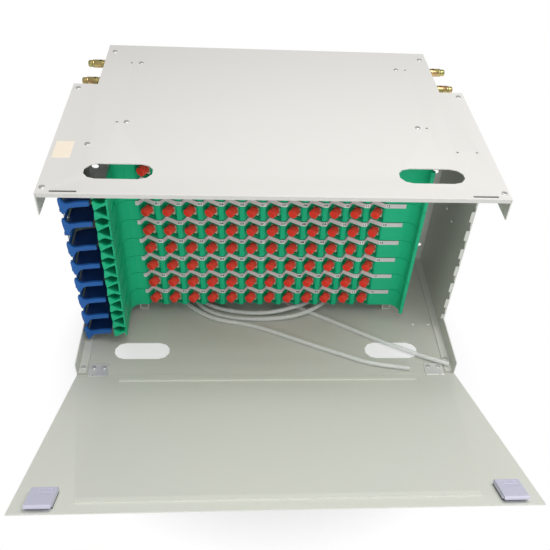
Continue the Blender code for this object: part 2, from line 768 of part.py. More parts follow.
def make_tray_body(finish):
    """One tray: toothed face with twelve windows, curved ends, cable prongs, floor, sides and runners."""
    top = TRAY_PITCH - TRAY_GAP
    line = face_line()
    back = offset_line(line, TRAY_WALL)
    face = prism(line + back[::-1], 0.0, top)
    rear = TRAY_REAR
    floor_start = FACE_Y + FLOOR_SETBACK
    joined = [
        prism(left_end_outline(), 0.0, top),
        prism(right_end_outline(), 0.0, top),
        cylinder(
            (RIGHT_WALL_X + TRAY_WALL, RIGHT_WALL_FRONT, 0.0),
            (RIGHT_WALL_X + TRAY_WALL, RIGHT_WALL_FRONT, top),
            RIM_RADIUS,
            sides=8,
        ),
        box((-TRAY_HALF, floor_start, 0.0), (TRAY_HALF, rear, TRAY_FLOOR)),
        box((-TRAY_HALF, rear - TRAY_WALL, 0.0), (TRAY_HALF, rear, TRAY_SIDE_HEIGHT)),
    ]
    for side, setback in ((-1, LEFT_SIDE_SETBACK), (1, RIGHT_SIDE_SETBACK)):
        side_start = FACE_Y + setback
        inner = side * (TRAY_HALF - TRAY_WALL)
        outer = side * TRAY_HALF
        runner = side * (TRAY_HALF + RUNNER_REACH)
        joined.append(
            box((min(inner, outer), side_start, 0.0), (max(inner, outer), rear, TRAY_SIDE_HEIGHT))
        )
        joined.append(
            box(
                (min(inner, runner), RAIL_FRONT + SHEET, RUNNER_HEIGHT),
                (max(inner, runner), RAIL_REAR - SHEET, RUNNER_HEIGHT + RUNNER_THICKNESS),
            )
        )
    joined.append(prism(prong_outline(0.0, 1), PRONG_FRONT, PRONG_BACK, axis="Y"))
    joined.append(prism(prong_outline(top, -1), PRONG_FRONT, PRONG_BACK, axis="Y"))
    cuts = [
        slanted_box(index, -4 * TRAY_WALL, 3 * TRAY_WALL, WINDOW_WIDTH, WINDOW_BOTTOM, WINDOW_TOP)
        for index in range(PORTS)
    ]
    slit_low = top / 2 - CABLE_SLIT_HEIGHT / 2
    cuts.append(
        box(
            (LEFT_WALL_X - 3 * TRAY_WALL, PRONG_FRONT - TRAY_WALL, slit_low),
            (LEFT_WALL_X + 3 * TRAY_WALL, CABLE_SLIT_BACK, slit_low + CABLE_SLIT_HEIGHT),
        )
    )
    return combine("tray_body_1", face, joined=joined, cut=cuts, finish=finish, place=(0, 0, TRAY_BASE))


def make_adapter_row(finish):
    """Twelve slanted adapters with dust caps, joined by a block that fills the back of the tray's teeth."""
    near = offset_line(face_line()[1:], TRAY_WALL + SEAT_GAP)
    back = FACE_Y + TOOTH_BACK + TRAY_WALL + 2 * CARRIER_THICKNESS
    low = PORT_HEIGHT - CARRIER_HEIGHT / 2
    outline = near + [(near[-1][0], back), (near[0][0], back)]
    carrier = prism(outline, low, low + CARRIER_HEIGHT)
    behind = TRAY_WALL + SEAT_GAP + CARRIER_THICKNESS / 2
    joined = []
    for index in range(PORTS):
        middle, outward, _ = port_frame(index)
        middle = middle + Vector((0.0, 0.0, PORT_HEIGHT))
        tip = middle + outward * (CAP_START + CAP_LENGTH)
        joined.append(cylinder(middle - outward * behind, tip, CAP_RADIUS, CAP_SIDES))
    return combine("adapter_row_1", carrier, joined=joined, finish=finish, place=(0, 0, TRAY_BASE))


def make_label_strip(finish):
    """The strip that follows the teeth along the top of a tray's face, with a plain end label."""
    line = face_line()
    line.insert(0, (line[0][0] - LABEL_TAB, line[0][1]))
    line[-1] = (LABEL_END_X, line[-1][1])
    back = offset_line(line, -SEAT_GAP)
    front = offset_line(line, -SEAT_GAP - LABEL_THICKNESS)
    top = TRAY_PITCH - TRAY_GAP
    outline = front + back[::-1]
    strip = prism(outline, top - LABEL_HEIGHT, top)
    return combine("label_strip_1", strip, finish=finish, place=(0, 0, TRAY_BASE))


def make_trays(finishes):
    """The eight equal trays, each with its adapters and label strip."""
    first = (
        make_tray_body(finishes["tray"]),
        make_adapter_row(finishes["cap"]),
        make_label_strip(finishes["label"]),
    )
    for index in range(1, TRAYS):
        place = (0.0, 0.0, TRAY_BASE + TRAY_PITCH * index)
        for source, stem in zip(first, ("tray_body", "adapter_row", "label_strip")):
            copy_of(source, f"{stem}_{index + 1}", place)


def guide_outline():
    """The front of a cable guide as (x, z): a bar that falls away to a fishtail at the left."""
    tip = GUIDE_TIP_X
    end = GUIDE_END_X
    top = GUIDE_BAR / 2
    points = [(end, top)]
    points += [(end - run, top - drop) for run, drop in GUIDE_TOP_DROPS]
    points += [
        (tip + GUIDE_THROAT[0], GUIDE_THROAT[1]),
        (tip + GUIDE_TAIL_EDGE, GUIDE_TAIL_UP),
        (tip - GUIDE_TAIL_OUT, GUIDE_TAIL_UP - GUIDE_TAIL_EDGE),
        (tip - GUIDE_TAIL_EDGE, GUIDE_TAIL_WAIST),
        (tip + GUIDE_TAIL_EDGE, -GUIDE_TAIL_DOWN),
        (tip + GUIDE_TAIL_FOOT[0], GUIDE_TAIL_FOOT[1] - GUIDE_TAIL_DOWN),
        (tip + GUIDE_TAIL_HEEL[0], GUIDE_TAIL_HEEL[1]),
        (end - GUIDE_UNDER_DROP[0], -top - GUIDE_UNDER_DROP[1]),
        (end, -top),
    ]
    return points


def shelf_outline():
    """A guide's curved shelf as (x, z), level with the bar at its right end and low at its left."""
    heel = GUIDE_TIP_X + GUIDE_TAIL_HEEL[0]
    root = GUIDE_TIP_X + GUIDE_HOOK_LAP
    thickness = GUIDE_SHELF_THICKNESS
    return [
        (GUIDE_END_X, GUIDE_SHELF_RISE),
        (heel, GUIDE_SHELF_SAG),
        (root, GUIDE_SHELF_LOW),
        (root, GUIDE_SHELF_LOW - thickness),
        (heel, GUIDE_SHELF_SAG - thickness),
        (GUIDE_END_X, GUIDE_SHELF_RISE - thickness),
    ]


def make_guides(finish):
    """The column of cable guides hooked on the left wall's notched flange."""
    front = GUIDE_FRONT
    lip = prism(guide_outline(), front, front + GUIDE_LIP, axis="Y")
    shelf_back = front + GUIDE_SHELF
    shelf = prism(shelf_outline(), front + GUIDE_LIP / 2, shelf_back, axis="Y")
    wall = -WIDTH / 2
    hook_end = CUTOUT_DEPTH + GUIDE_HOOK_DEPTH
    hook_top = GUIDE_HOOK_LOW + GUIDE_HOOK_HEIGHT
    hook_start = CUTOUT_DEPTH - GUIDE_HOOK_LEAD
    arm_start = front + GUIDE_LIP / 2
    hook_outline = [
        (wall - GUIDE_HOOK_OUT, hook_start),
        (GUIDE_TIP_X, hook_start),
        (GUIDE_TIP_X, arm_start),
        (GUIDE_TIP_X + GUIDE_HOOK_LAP, arm_start),
        (GUIDE_TIP_X + GUIDE_HOOK_LAP, hook_end),
        (wall - GUIDE_HOOK_OUT, hook_end),
    ]
    hook = prism(hook_outline, GUIDE_HOOK_LOW, hook_top)
    groove = box(
        (wall - SEAT_GAP, CUTOUT_DEPTH - SEAT_GAP, GUIDE_HOOK_LOW - SHEET),
        (wall + EDGE_FLANGE + SEAT_GAP, hook_end + SHEET, hook_top + SHEET),
    )
    place = (0, 0, GUIDE_BASE)
    first = combine("cable_guide_1", lip, joined=[shelf, hook], cut=[groove], finish=finish, place=place)
    for index in range(1, GUIDES):
        z = GUIDE_BASE + GUIDE_PITCH * index
        if index >= GUIDE_BREAK:
            z += GUIDE_BREAK_STEP
        copy_of(first, f"cable_guide_{index + 1}", (0.0, 0.0, z))


def hang_on_door(piece, hinge):
    """Put a piece made in the door's own flat frame on the hinge axis."""
    piece.parent = hinge


def make_door(finishes):
    """The fold-down front door in its own frame: it lies along -Y, and its origin is on the hinge axis."""
    hinge = bpy.data.objects.new("door_axis", None)
    hinge.location = (0.0, HINGE_Y, HINGE_Z)
    hinge.rotation_euler = (-DOOR_TILT, 0.0, 0.0)
    bpy.context.scene.collection.objects.link(hinge)
    wide = WIDTH / 2
    back = DOOR_FACE - SHEET
    panel = box((-wide, -DOOR_REACH, back), (wide, DOOR_HEEL, DOOR_FACE))
    rib_half = wide - DOOR_RIB_INSET
    ribs = [
        box(
            (-rib_half, -reach - DOOR_RIB_WIDTH / 2, DOOR_FACE - SHEET / 2),
            (rib_half, -reach + DOOR_RIB_WIDTH / 2, DOOR_FACE + DOOR_RIB_HEIGHT),
        )
        for reach in DOOR_RIB_REACHES
    ]
    notch = KNUCKLE_RADIUS + HINGE_CLEARANCE
    half = HINGE_LENGTH / 2 + HINGE_CLEARANCE
    notches = []
    for side in (-1, 1):
        middle = side * HINGE_X
        notches.append(box((middle - half, -notch, back - SHEET), (middle + half, notch, 2 * DOOR_FACE)))
    door = combine("door_panel", panel, joined=ribs, cut=notches, finish=finishes["coat"])
    hang_on_door(door, hinge)
    make_hinges(finishes["zinc"], hinge)
    make_latches(finishes, hinge)


def make_hinges(finish, hinge):
    """Two butt hinges: a leaf on the base, a leaf under the door and a loose pin in each."""
    half = HINGE_LENGTH / 2
    inner = half - KNUCKLE_SHARE
    door_half = inner - SEAT_GAP
    back = DOOR_FACE - SHEET - SEAT_GAP
    for side, side_name in ((-1, "left"), (1, "right")):
        middle = side * HINGE_X
        barrel = cylinder((middle - door_half, 0, 0), (middle + door_half, 0, 0), KNUCKLE_RADIUS, sides=12)
        flap = box(
            (middle - door_half, -DOOR_LEAF_DEPTH, back - LEAF_THICKNESS),
            (middle + door_half, -KNUCKLE_BORE / 2, back),
        )
        bore = cylinder((middle - half, 0, 0), (middle + half, 0, 0), KNUCKLE_BORE, sides=10)
        leaf = combine(f"door_leaf_{side_name}", barrel, joined=[flap], cut=[bore], finish=finish)
        hang_on_door(leaf, hinge)

        low = SHEET + SEAT_GAP
        plate = box(
            (middle - half, HINGE_Y + KNUCKLE_RADIUS / 2, low),
            (middle + half, LEAF_DEPTH, low + LEAF_THICKNESS),
        )
        knuckles = []
        for start, end in ((middle - half, middle - inner), (middle + inner, middle + half)):
            knuckles.append(
                cylinder((start, HINGE_Y, HINGE_Z), (end, HINGE_Y, HINGE_Z), KNUCKLE_RADIUS, sides=12)
            )
        room = KNUCKLE_RADIUS + HINGE_CLEARANCE
        clearance = box(
            (middle - inner, HINGE_Y - room, HINGE_Z - room),
            (middle + inner, HINGE_Y + room, HINGE_Z + room),
        )
        past = 2 * half
        axis_bore = cylinder(
            (middle - past, HINGE_Y, HINGE_Z), (middle + past, HINGE_Y, HINGE_Z), KNUCKLE_BORE, sides=10
        )
        combine(
            f"base_leaf_{side_name}", plate, joined=knuckles, cut=[clearance, axis_bore], finish=finish
        )
        pin = cylinder(
            (middle - half, HINGE_Y, HINGE_Z), (middle + half, HINGE_Y, HINGE_Z), PIN_RADIUS, sides=10
        )
        combine(f"hinge_pin_{side_name}", pin, finish=finish)


def make_latches(finishes, hinge):
    """Two sliding latches on the door's inner face, each on a black guide plate with a rail."""
    plate_low = DOOR_FACE + SEAT_GAP
    plate_high = plate_low + GUIDE_PLATE_THICKNESS
    body_low = plate_high + SEAT_GAP
    plate_end = LATCH_TIP - LATCH_TRAVEL
    rail_high = LATCH_TOP - LATCH_SHELL - SEAT_GAP
    rail_front = LATCH_TIP - LATCH_TONGUE_REACH - LATCH_SHELL - LATCH_TRAVEL - SEAT_GAP
    rail_back = LATCH_REAR + LATCH_SHELL + LATCH_TRAVEL + SEAT_GAP
    for side, side_name in ((-1, "left"), (1, "right")):
        middle = side * LATCH_X
        half = LATCH_WIDTH / 2
        body_end = LATCH_TIP - LATCH_TONGUE_REACH
        outline = [
            (-LATCH_REAR, body_low),
            (-LATCH_REAR, LATCH_TOP),
            (-LATCH_TIP + LATCH_BEVEL, LATCH_TOP),
            (-LATCH_TIP, LATCH_TOP - LATCH_BEVEL),
            (-LATCH_TIP, LATCH_TOP - LATCH_TONGUE),
            (-body_end, LATCH_TOP - LATCH_TONGUE),
            (-body_end, body_low),
        ]
        block = prism(outline, middle - half, middle + half, axis="X")
        pocket_half = GUIDE_RAIL_WIDTH / 2 + SEAT_GAP
        pocket = box(
            (middle - pocket_half, -body_end + LATCH_SHELL, body_low - SHEET),
            (middle + pocket_half, -LATCH_REAR - LATCH_SHELL, LATCH_TOP - LATCH_SHELL),
        )
        latch = combine(f"latch_bolt_{side_name}", block, cut=[pocket], finish=finishes["latch"])
        hang_on_door(latch, hinge)

        plate = box((middle - half, -plate_end, plate_low), (middle + half, -LATCH_REAR, plate_high))
        rail = box(
            (middle - GUIDE_RAIL_WIDTH / 2, -rail_front, plate_low),
            (middle + GUIDE_RAIL_WIDTH / 2, -rail_back, rail_high),
        )
        guide = combine(f"latch_guide_{side_name}", plate, joined=[rail], finish=finishes["black"])
        hang_on_door(guide, hinge)


def smooth_point(points, position):
    """A point on the Catmull-Rom curve through the route, at a position counted in route points."""
    last = len(points) - 1
    index = min(int(position), last - 1)
    share = position - index
    before = points[max(index - 1, 0)]
    start = points[index]
    end = points[index + 1]
    after = points[min(index + 2, last)]
    square = share * share
    cube = square * share
    return 0.5 * (
        2 * start
        + (end - before) * share
        + (2 * before - 5 * start + 4 * end - after) * square
        + (3 * start - before - 3 * end + after) * cube
    )


def route_points(route, length):
    """Equal steps of about a length along the smooth curve through the route's own points."""
    points = [Vector(point) * MM for point in route]
    fine_count = FINE_STEPS * (len(points) - 1)
    fine = [smooth_point(points, step / FINE_STEPS) for step in range(fine_count + 1)]
    lengths = [0.0]
    for one, other in zip(fine, fine[1:]):
        lengths.append(lengths[-1] + (other - one).length)
    count = 1 + round(lengths[-1] / length)
    spaced = []
    place = 0
    for step in range(count):
        target = lengths[-1] * step / (count - 1)
        while place < len(lengths) - 2 and lengths[place + 1] < target:
            place += 1
        share = (target - lengths[place]) / (lengths[place + 1] - lengths[place])
        spaced.append(fine[place].lerp(fine[place + 1], min(share, 1.0)))
    return spaced


def make_hose(finish):
    """The spare protective hose, lying loose on the base in two open loops."""
    curve = bpy.data.curves.new("protective_hose", "CURVE")
    curve.dimensions = "3D"
    curve.bevel_depth = HOSE_RADIUS
    curve.bevel_resolution = 2
    curve.use_fill_caps = True
    points = route_points(HOSE_ROUTE_MM, HOSE_STEP)
    spline = curve.splines.new("POLY")
    spline.points.add(len(points) - 1)
    for target, point in zip(spline.points, points):
        target.co = (*point, 1.0)
    curve.materials.append(finish)
    made = bpy.data.objects.new("protective_hose", curve)
    bpy.context.scene.collection.objects.link(made)


def main():
    """Build the whole unit."""
    clear_scene()
    finishes = make_materials()
    make_base_plate(finishes["coat"])
    make_top_cover(finishes["coat"])
    make_rear_panel(finishes["coat"])
    make_side_wall("left_side_wall", -1, finishes["coat"])
    make_side_wall("right_side_wall", 1, finishes["coat"])
    make_anchor_posts(finishes["yellow_zinc"])
    make_tray_rail("tray_rail_left", -1, finishes["coat"])
    make_tray_rail("tray_rail_right", 1, finishes["coat"])
    make_trays(finishes)
    make_guides(finishes["guide"])
    make_door(finishes)
    make_hose(finishes["hose"])


main()
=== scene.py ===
"""Dresses the packed fibre patch unit: finishes, detailed trays, ports, cable guides and hardware."""

import math

import bmesh
import bpy
from bpy.props import FloatProperty, FloatVectorProperty, IntProperty, PointerProperty
from bpy.types import Operator, Panel, PropertyGroup
from mathutils import Matrix, Vector


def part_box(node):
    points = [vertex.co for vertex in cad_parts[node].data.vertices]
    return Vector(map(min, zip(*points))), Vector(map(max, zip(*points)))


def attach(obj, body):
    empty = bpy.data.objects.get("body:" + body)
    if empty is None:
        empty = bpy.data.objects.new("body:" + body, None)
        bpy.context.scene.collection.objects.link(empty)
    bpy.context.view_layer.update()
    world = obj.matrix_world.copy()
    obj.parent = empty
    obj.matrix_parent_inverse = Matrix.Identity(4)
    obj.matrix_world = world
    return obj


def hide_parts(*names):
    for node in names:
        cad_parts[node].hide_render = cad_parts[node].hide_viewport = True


bl_info = {
    "name": "Fibre patch unit",
    "version": (1, 0, 0),
    "blender": (4, 5, 0),
    "location": "3D View > Sidebar > Patch unit",
    "description": "Dresses a rack-mount fibre patch unit with sliding trays",
    "category": "Add Mesh",
}

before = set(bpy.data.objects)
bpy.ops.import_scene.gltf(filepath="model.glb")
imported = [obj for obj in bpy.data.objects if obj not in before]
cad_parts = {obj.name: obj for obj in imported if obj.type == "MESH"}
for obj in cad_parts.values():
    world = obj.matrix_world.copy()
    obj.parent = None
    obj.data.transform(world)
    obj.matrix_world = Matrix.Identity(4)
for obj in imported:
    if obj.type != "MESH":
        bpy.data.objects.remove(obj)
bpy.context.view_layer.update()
MM = 0.001
UP = Vector((0, 0, 1))
FRONT = Vector((0, -1, 0))
REAR = Vector((0, 1, 0))

# Counts and main places, as in the solid model
SIDES = (("left", -1), ("right", 1))
TRAYS = 8
GUIDES = 8
PORTS = 12
PORT_PITCH = 25.5 * MM
FIRST_PORT_X = -161.1 * MM
FACE_Y = 107.5 * MM
TOOTH_START = 0.3 * MM
TOOTH_PEAK = 5.9 * MM
TOOTH_BACK = 9.0 * MM
TOOTH_END = 20.5 * MM
POST_YS = (252.5 * MM, 300.0 * MM)
DOOR_TILT = math.radians(26.2)
HINGE_POINT = Vector((0.0, -2.7 * MM, 2.4 * MM))
HINGE_X = 217.0 * MM
LATCH_X = 215.3 * MM
CAD_WALL = -242.5 * MM
EDGE_FLANGE = 5.0 * MM
EDGE_FLANGE_Y = 79.0 * MM
SEAT_GAP = 0.3 * MM

# Trays
TRAY_TOP = 28.8 * MM
TRAY_HALF = 160.6 * MM
TRAY_REAR = 305.0 * MM
SIDE_TOP = 24.0 * MM
SIDE_SETBACKS = {-1: 3.4 * MM, 1: 1.7 * MM}
FLOOR_SETBACK = 20.0 * MM
LEFT_FLAT_X = -171.0 * MM
LEFT_WALL_X = -184.0 * MM
LEFT_WALL_FRONT = 50.0 * MM
RIGHT_FLAT_X = 169.0 * MM
RIGHT_WALL_X = 182.0 * MM
RIGHT_WALL_FRONT = 92.0 * MM
RIM_RADIUS = 2.6 * MM
RUNNER_REACH = 3.2 * MM
RUNNER_ENDS = (119.2 * MM, 300.8 * MM)
RUNNER_LOW = 10.0 * MM
RUNNER_HIGH = 12.0 * MM
SPOOL_XS = (-110.0 * MM, 0.0, 110.0 * MM)
SPOOL_Y = 225.0 * MM
SPOOL_TOP = 20.0 * MM
SPOOL_OPEN_TOP = 30.0 * MM
SPOOL_RADIUS = 26.0 * MM
SPOOL_BORE = 24.4 * MM
SLIT_HALF = 1.2 * MM
SLIT_BACK = 84.0 * MM

# Ports
WINDOW_WIDTH = 12.4 * MM
WINDOW_BOTTOM = 1.0 * MM
WINDOW_TOP = 20.6 * MM
SLOT_WIDTH = 15.4 * MM
SLOT_SHIFT = 0.2 * MM
SLOT_TOP = 8.2 * MM
BAR_HEIGHT = 1.0 * MM
BAR_LOWS = (2.7 * MM, 5.7 * MM)
BAR_DEPTH = 0.5 * MM
# Dark sheet behind each port: painted shade that stands in for the shade inside the port
SHADE_SHEET_WIDTH = 16.4 * MM
SHADE_SHEET_LOW = 0.7 * MM
SHADE_SHEET_HIGH = 21.5 * MM
SHADE_SHEET_FRONT = 1.9 * MM
SHADE_SHEET_BACK = 2.15 * MM
CAP_HEIGHT = 14.2 * MM
CAP_AHEAD = 0.4 * MM
CAP_SUNK = 1.0 * MM
CAP_FOOT_SHARE = 0.94
CAP_FOOT = 0.5 * MM
ADAPTER_HEIGHT = 12.6 * MM
ADAPTER_BODY_MM = ((-5.2, -5.0, -16.0), (5.2, 5.6, 1.0))
ADAPTER_FLANGE_MM = ((-6.9, -5.6, -4.0), (6.9, 7.6, -2.2))
ADAPTER_TAIL_ENDS = (-20.0 * MM, -15.0 * MM)
ADAPTER_TAIL_RADIUS = 3.4 * MM
ADAPTER_BORE_ENDS = (-0.6 * MM, 3.0 * MM)
ADAPTER_BORE_RADIUS = 4.7 * MM

# The rounded end of a cap, as shares of its radius and depths in millimetres below its end
CAP_END = ((1.0, 1.0), (0.97, 0.5), (0.90, 0.15), (0.80, 0.0), (0.40, -0.1))

# Port numbers on the label strips
LABEL_HEIGHT = 6.0 * MM
NUMBER_SIZE = 4.9 * MM
NUMBER_WEIGHT = 0.17 * MM
NUMBER_RELIEF = 0.03 * MM
PLATE_WIDTH = 5.0 * MM
PLATE_HEIGHT = 5.4 * MM
PLATE_BACK = 1.15 * MM
PLATE_FRONT = 1.35 * MM

# Prongs, with their outline in millimetres inwards from the tip and up from the foot
PRONG_TIP_X = -200.0 * MM
PRONG_FRONT = 48.0 * MM
PRONG_BACK = 70.0 * MM
PRONG_FACE = 3.0 * MM
PRONG_LAP = 0.4 * MM
PRONG_SUNK = 0.9 * MM
PRONG_EDGE_MM = ((1.0, 0.0), (0.2, 6.0), (0.0, 12.3), (1.2, 12.6), (4.5, 10.2), (8.5, 8.8), (12.0, 9.8))
PRONG_ROOT_MM = (11.2, 8.2)
PRONG_FOLD_MM = ((9.0, 5.4), (5.0, 2.8))

# Cable guides: the bar's edges run back from its end, the fishtail's from the tip, in millimetres
GUIDE_TIP_X = -237.0 * MM
GUIDE_END_X = -205.0 * MM
GUIDE_BAR = 6.2 * MM
GUIDE_FRONT = 55.0 * MM
GUIDE_TAIL_DOWN = 14.5 * MM
GUIDE_SMOOTH = 4
BAR_TOP_MM = ((0.0, 0.0), (12.0, 0.8), (22.0, 2.8))
BAR_FOOT_MM = ((14.0, 1.6), (0.0, 0.0))
FISHTAIL_MM = ((5.0, 1.0), (1.0, 6.5), (-1.5, 5.5), (-1.0, -6.0), (1.0, -14.5), (4.5, -12.5), (9.0, -6.5))
SHELF_BACK = 91.0 * MM
SHELF_STEPS = 12
SHELF_HIGH_MM = 1.2
SHELF_FALL_MM = 6.2
SHELF_CURVE = 1.8
SHELF_THICKNESS_MM = 2.2
SHELF_SWELL_MM = 0.2
HOOK_REACH = 2.5 * MM
HOOK_BAR = 2.0 * MM
HOOK_FRONT = 76.0 * MM
HOOK_BACK = 86.0 * MM
HOOK_LOW = 0.5 * MM
HOOK_HIGH = 5.0 * MM
GROOVE_OVER = 1.2 * MM

# Screws: a head as shares of its radius and height, and its cross recess
SCREW_SUNK = 0.4 * MM
SCREW_PROFILE = ((1.0, 0.35), (0.93, 0.72), (0.75, 0.95), (0.4, 1.0))
CROSS_REACH = 0.62
CROSS_HALF = 0.13
CROSS_FLOOR = 0.3
COVER_SCREW_HEIGHT = 1.1 * MM
COVER_SCREWS_MM = ((236.6, 11.0), (235.2, 215.0), (204.5, 315.4), (167.0, 284.4), (168.5, 138.4))
COVER_ODD_SCREW_MM = (-204.7, 91.0)
REAR_SCREW_RADIUS = 3.0 * MM
REAR_SCREW_HEIGHT = 1.0 * MM
REAR_SCREW_XS_MM = (-200.0, -70.0, 70.0, 200.0)
REAR_SCREW_ZS_MM = (14.0, 271.0)
LEAF_SCREW_RADIUS = 3.0 * MM
LEAF_SCREW_HEIGHT = 0.9 * MM
LEAF_SCREW_STEP = 6.5 * MM
LEAF_SCREW_Y = 11.5 * MM
LEAF_TOP = 2.5 * MM
FLANGE_SCREWS_MM = ((-236.6, 12.0), (236.6, 24.0))
FLANGE_SCREW_Z = 3.0 * MM

# Strikes under the cover's front edge, and the blank sticker on it
STRIKE_HALF = 14.5 * MM
STRIKE_FRONT = 2.2 * MM
STRIKE_BACK = 9.0 * MM
STRIKE_DROP = 1.75 * MM
STRIKE_THICKNESS = 0.5 * MM
STICKER_LOW = (-238.0 * MM, 64.0 * MM)
STICKER_HIGH = (-219.0 * MM, 96.0 * MM)
STICKER_SUNK = 0.05 * MM
STICKER_PROUD = 0.12 * MM
STICKER_EDGE = 0.06 * MM

# Anchor posts and clamp screws: profiles from the foot, and bars as near end, far end and radius
POST_ROOT_X = 213.5 * MM
POST_REACH = 18.5 * MM
POST_RADIUS = 5.2 * MM
POST_PROFILE = (
    (0.88, 0.3), (1.0, 0.8), (1.0, 3.2), (0.84, 3.6), (0.84, 4.4), (1.0, 4.8),
    (1.0, 16.1), (0.94, 16.6), (0.94, 17.2), (1.0, 17.6), (0.92, 18.5),
)
POST_STUD_MM = (-4.7, 1.5, 2.2)
POST_BORE_MM = (8.5, 20.0, 2.4)
POST_HOLE_AT = 8.0 * MM
POST_HOLE_HALF = 8.0 * MM
POST_HOLE_RADIUS = 1.9 * MM
CLAMP_GAP = 0.3 * MM
CLAMP_HEAD_MM = ((4.4, 0.0), (4.4, 3.6), (4.1, 4.6), (3.2, 5.3), (1.6, 5.5))
CLAMP_SHANK_MM = (-8.0, 1.0, 2.1)
CLAMP_SLOT_ENDS = (4.2 * MM, 7.0 * MM)
CLAMP_SLOT_REACH = 6.0 * MM
CLAMP_SLOT_HALF = 0.5 * MM

# Latches, laid along the flat door with the tip at its front
LATCH_HALF = 11.75 * MM
LATCH_REAR = 249.0 * MM
LATCH_TIP = 280.0 * MM
LATCH_LOW = 3.3 * MM
LATCH_TOP = 9.2 * MM
LATCH_SLOPE_MM = ((0.4, 1.8), (2.6, 0.0))
LATCH_CHAMFER = 1.6 * MM
LATCH_NOSE = 6.0 * MM
LATCH_NOSE_THICKNESS = 3.2 * MM
POCKET_HALF = 4.8 * MM
POCKET_ENDS = (-272.4 * MM, -250.6 * MM)
POCKET_UNDER = 1.2 * MM
POCKET_ROOF = 1.6 * MM
GRIPS = 4
GRIP_HALF = 8.5 * MM
GRIP_START = 4.8 * MM
GRIP_WIDTH = 1.2 * MM
GRIP_PITCH = 2.6 * MM
GRIP_DEPTH = 0.5 * MM
GRIP_OVER = 1.0 * MM

# Rounding of solid-model pieces, and steps round small bars
LEAF_EDGE = 0.2 * MM
PLATE_EDGE = 0.1 * MM
LABEL_EDGE = 0.15 * MM
BAR_SEGMENTS = 16

# The camera that fits the photograph
PHOTO_SIZE = 550
CAMERA_FOCUS_PX = 690.66
CAMERA_CENTRE_PX = (287.34, 270.99)
CAMERA_PLACE = (-42.63 * MM, -561.86 * MM, 702.65 * MM)
CAMERA_RIGHT = (0.99729, -0.05004, 0.05382)
CAMERA_UP = (-0.00553, 0.67911, 0.73403)
CAMERA_FORWARD = (0.07328, 0.73234, -0.6770)
CAMERA_REACH = 60.0
SENSOR = 36.0

# Lamps, sky and floor. The floor looks whiter away from the unit
KEY_PLACE = (0.22, -0.12, 1.25)
KEY_COLOUR = (1.0, 0.99, 0.975)
FILL_PLACE = (0.1, -1.9, 0.80)
FILL_COLOUR = (0.97, 0.99, 1.0)
FILL_SHARE = 0.95
LAMP_SIZE = 0.9
LAMP_TARGET = (0.0, 0.1, 0.12)
SKY_COLOUR = (0.97, 0.985, 1.0, 1.0)
FLOOR_RADIUS = 12.0
FLOOR_CENTRE = (0.0, 0.04, 0.0)
FLOOR_FADE = (0.18, 0.28)
FLOOR_SHARES = (0.45, 1.0)
FLOOR_ROUGHNESS = 0.8
WHITE = (1.0, 1.0, 1.0, 1.0)

# The hose's route, as the solid model lays it
HOSE_STEPS = 210
HOSE_BEVEL_STEPS = 5
HOSE_ROUTE_MM = (
    (238.0, 11.5, 6.4),
    (221.0, 19.5, 6.4),
    (201.0, 29.0, 5.2),
    (146.0, 58.0, 4.6),
    (100.0, 85.0, 4.6),
    (52.0, 113.0, 4.6),
    (4.0, 140.0, 4.6),
    (-45.0, 160.0, 4.6),
    (-86.0, 160.0, 5.0),
    (-96.0, 136.0, 5.6),
    (-72.0, 117.0, 5.6),
    (-36.0, 107.0, 5.6),
    (0.0, 104.5, 7.6),
    (34.0, 110.0, 11.8),
    (64.0, 127.0, 10.4),
    (82.0, 160.0, 5.6),
    (84.0, 205.0, 4.6),
    (62.0, 248.0, 4.6),
    (20.0, 272.0, 4.6),
    (-32.0, 275.0, 4.6),
    (-78.0, 254.0, 4.6),
    (-106.0, 214.0, 4.6),
    (-111.0, 168.0, 4.6),
    (-99.0, 130.0, 6.4),
    (-79.0, 108.0, 5.6),
    (-45.0, 97.0, 4.6),
    (0.0, 95.0, 5.2),
    (40.0, 98.0, 9.4),
    (74.0, 115.0, 12.2),
    (96.0, 150.0, 7.4),
    (100.0, 200.0, 4.6),
    (84.0, 250.0, 4.6),
    (40.0, 285.0, 4.6),
    (-30.0, 291.0, 4.6),
    (-90.0, 268.0, 4.6),
    (-122.0, 222.0, 4.6),
    (-128.0, 170.0, 4.6),
    (-112.0, 126.0, 5.2),
    (-81.0, 99.0, 6.0),
    (-58.0, 91.5, 4.8),
    (-33.0, 86.0, 4.6),
    (-8.0, 78.0, 4.6),
    (23.0, 64.0, 4.6),
    (69.0, 43.0, 4.6),
    (101.0, 29.0, 4.6),
    (134.0, 16.0, 4.6),
    (184.0, 6.5, 4.6),
)

# Settings


def colour_property(name, colour, description):
    """A colour setting."""
    return FloatVectorProperty(
        name=name, description=description, default=colour, subtype="COLOR", size=3, min=0.0, max=1.0
    )


def size_property(name, value, description):
    """A length setting in metres."""
    return FloatProperty(name=name, description=description, default=value, subtype="DISTANCE", min=0.0)


class PatchUnitCase(PropertyGroup):
    """Finish of the sheet-metal case and its fasteners."""

    outside: colour_property("Outside coat", (0.69, 0.677, 0.65), "Powder coat on the cover and rear")
    inside: colour_property("Door coat", (0.70, 0.71, 0.645), "Powder coat on the door")
    # The base's coat is the door's paint darkened: painted shade, as the base lies under the cover
    base: colour_property("Base coat", (0.58, 0.59, 0.53), "Powder coat on the base")
    wall: colour_property("Wall coat", (0.69, 0.70, 0.65), "Powder coat on the side walls and the rails")
    edge_radius: size_property("Edge radius", 0.35 * MM, "Rounding of the sheet's edges")
    screw_radius: size_property("Screw radius", 3.3 * MM, "Radius of a cover screw's head")
    sticker_colour: colour_property("Sticker", (0.93, 0.83, 0.68), "The blank paper label on the cover")


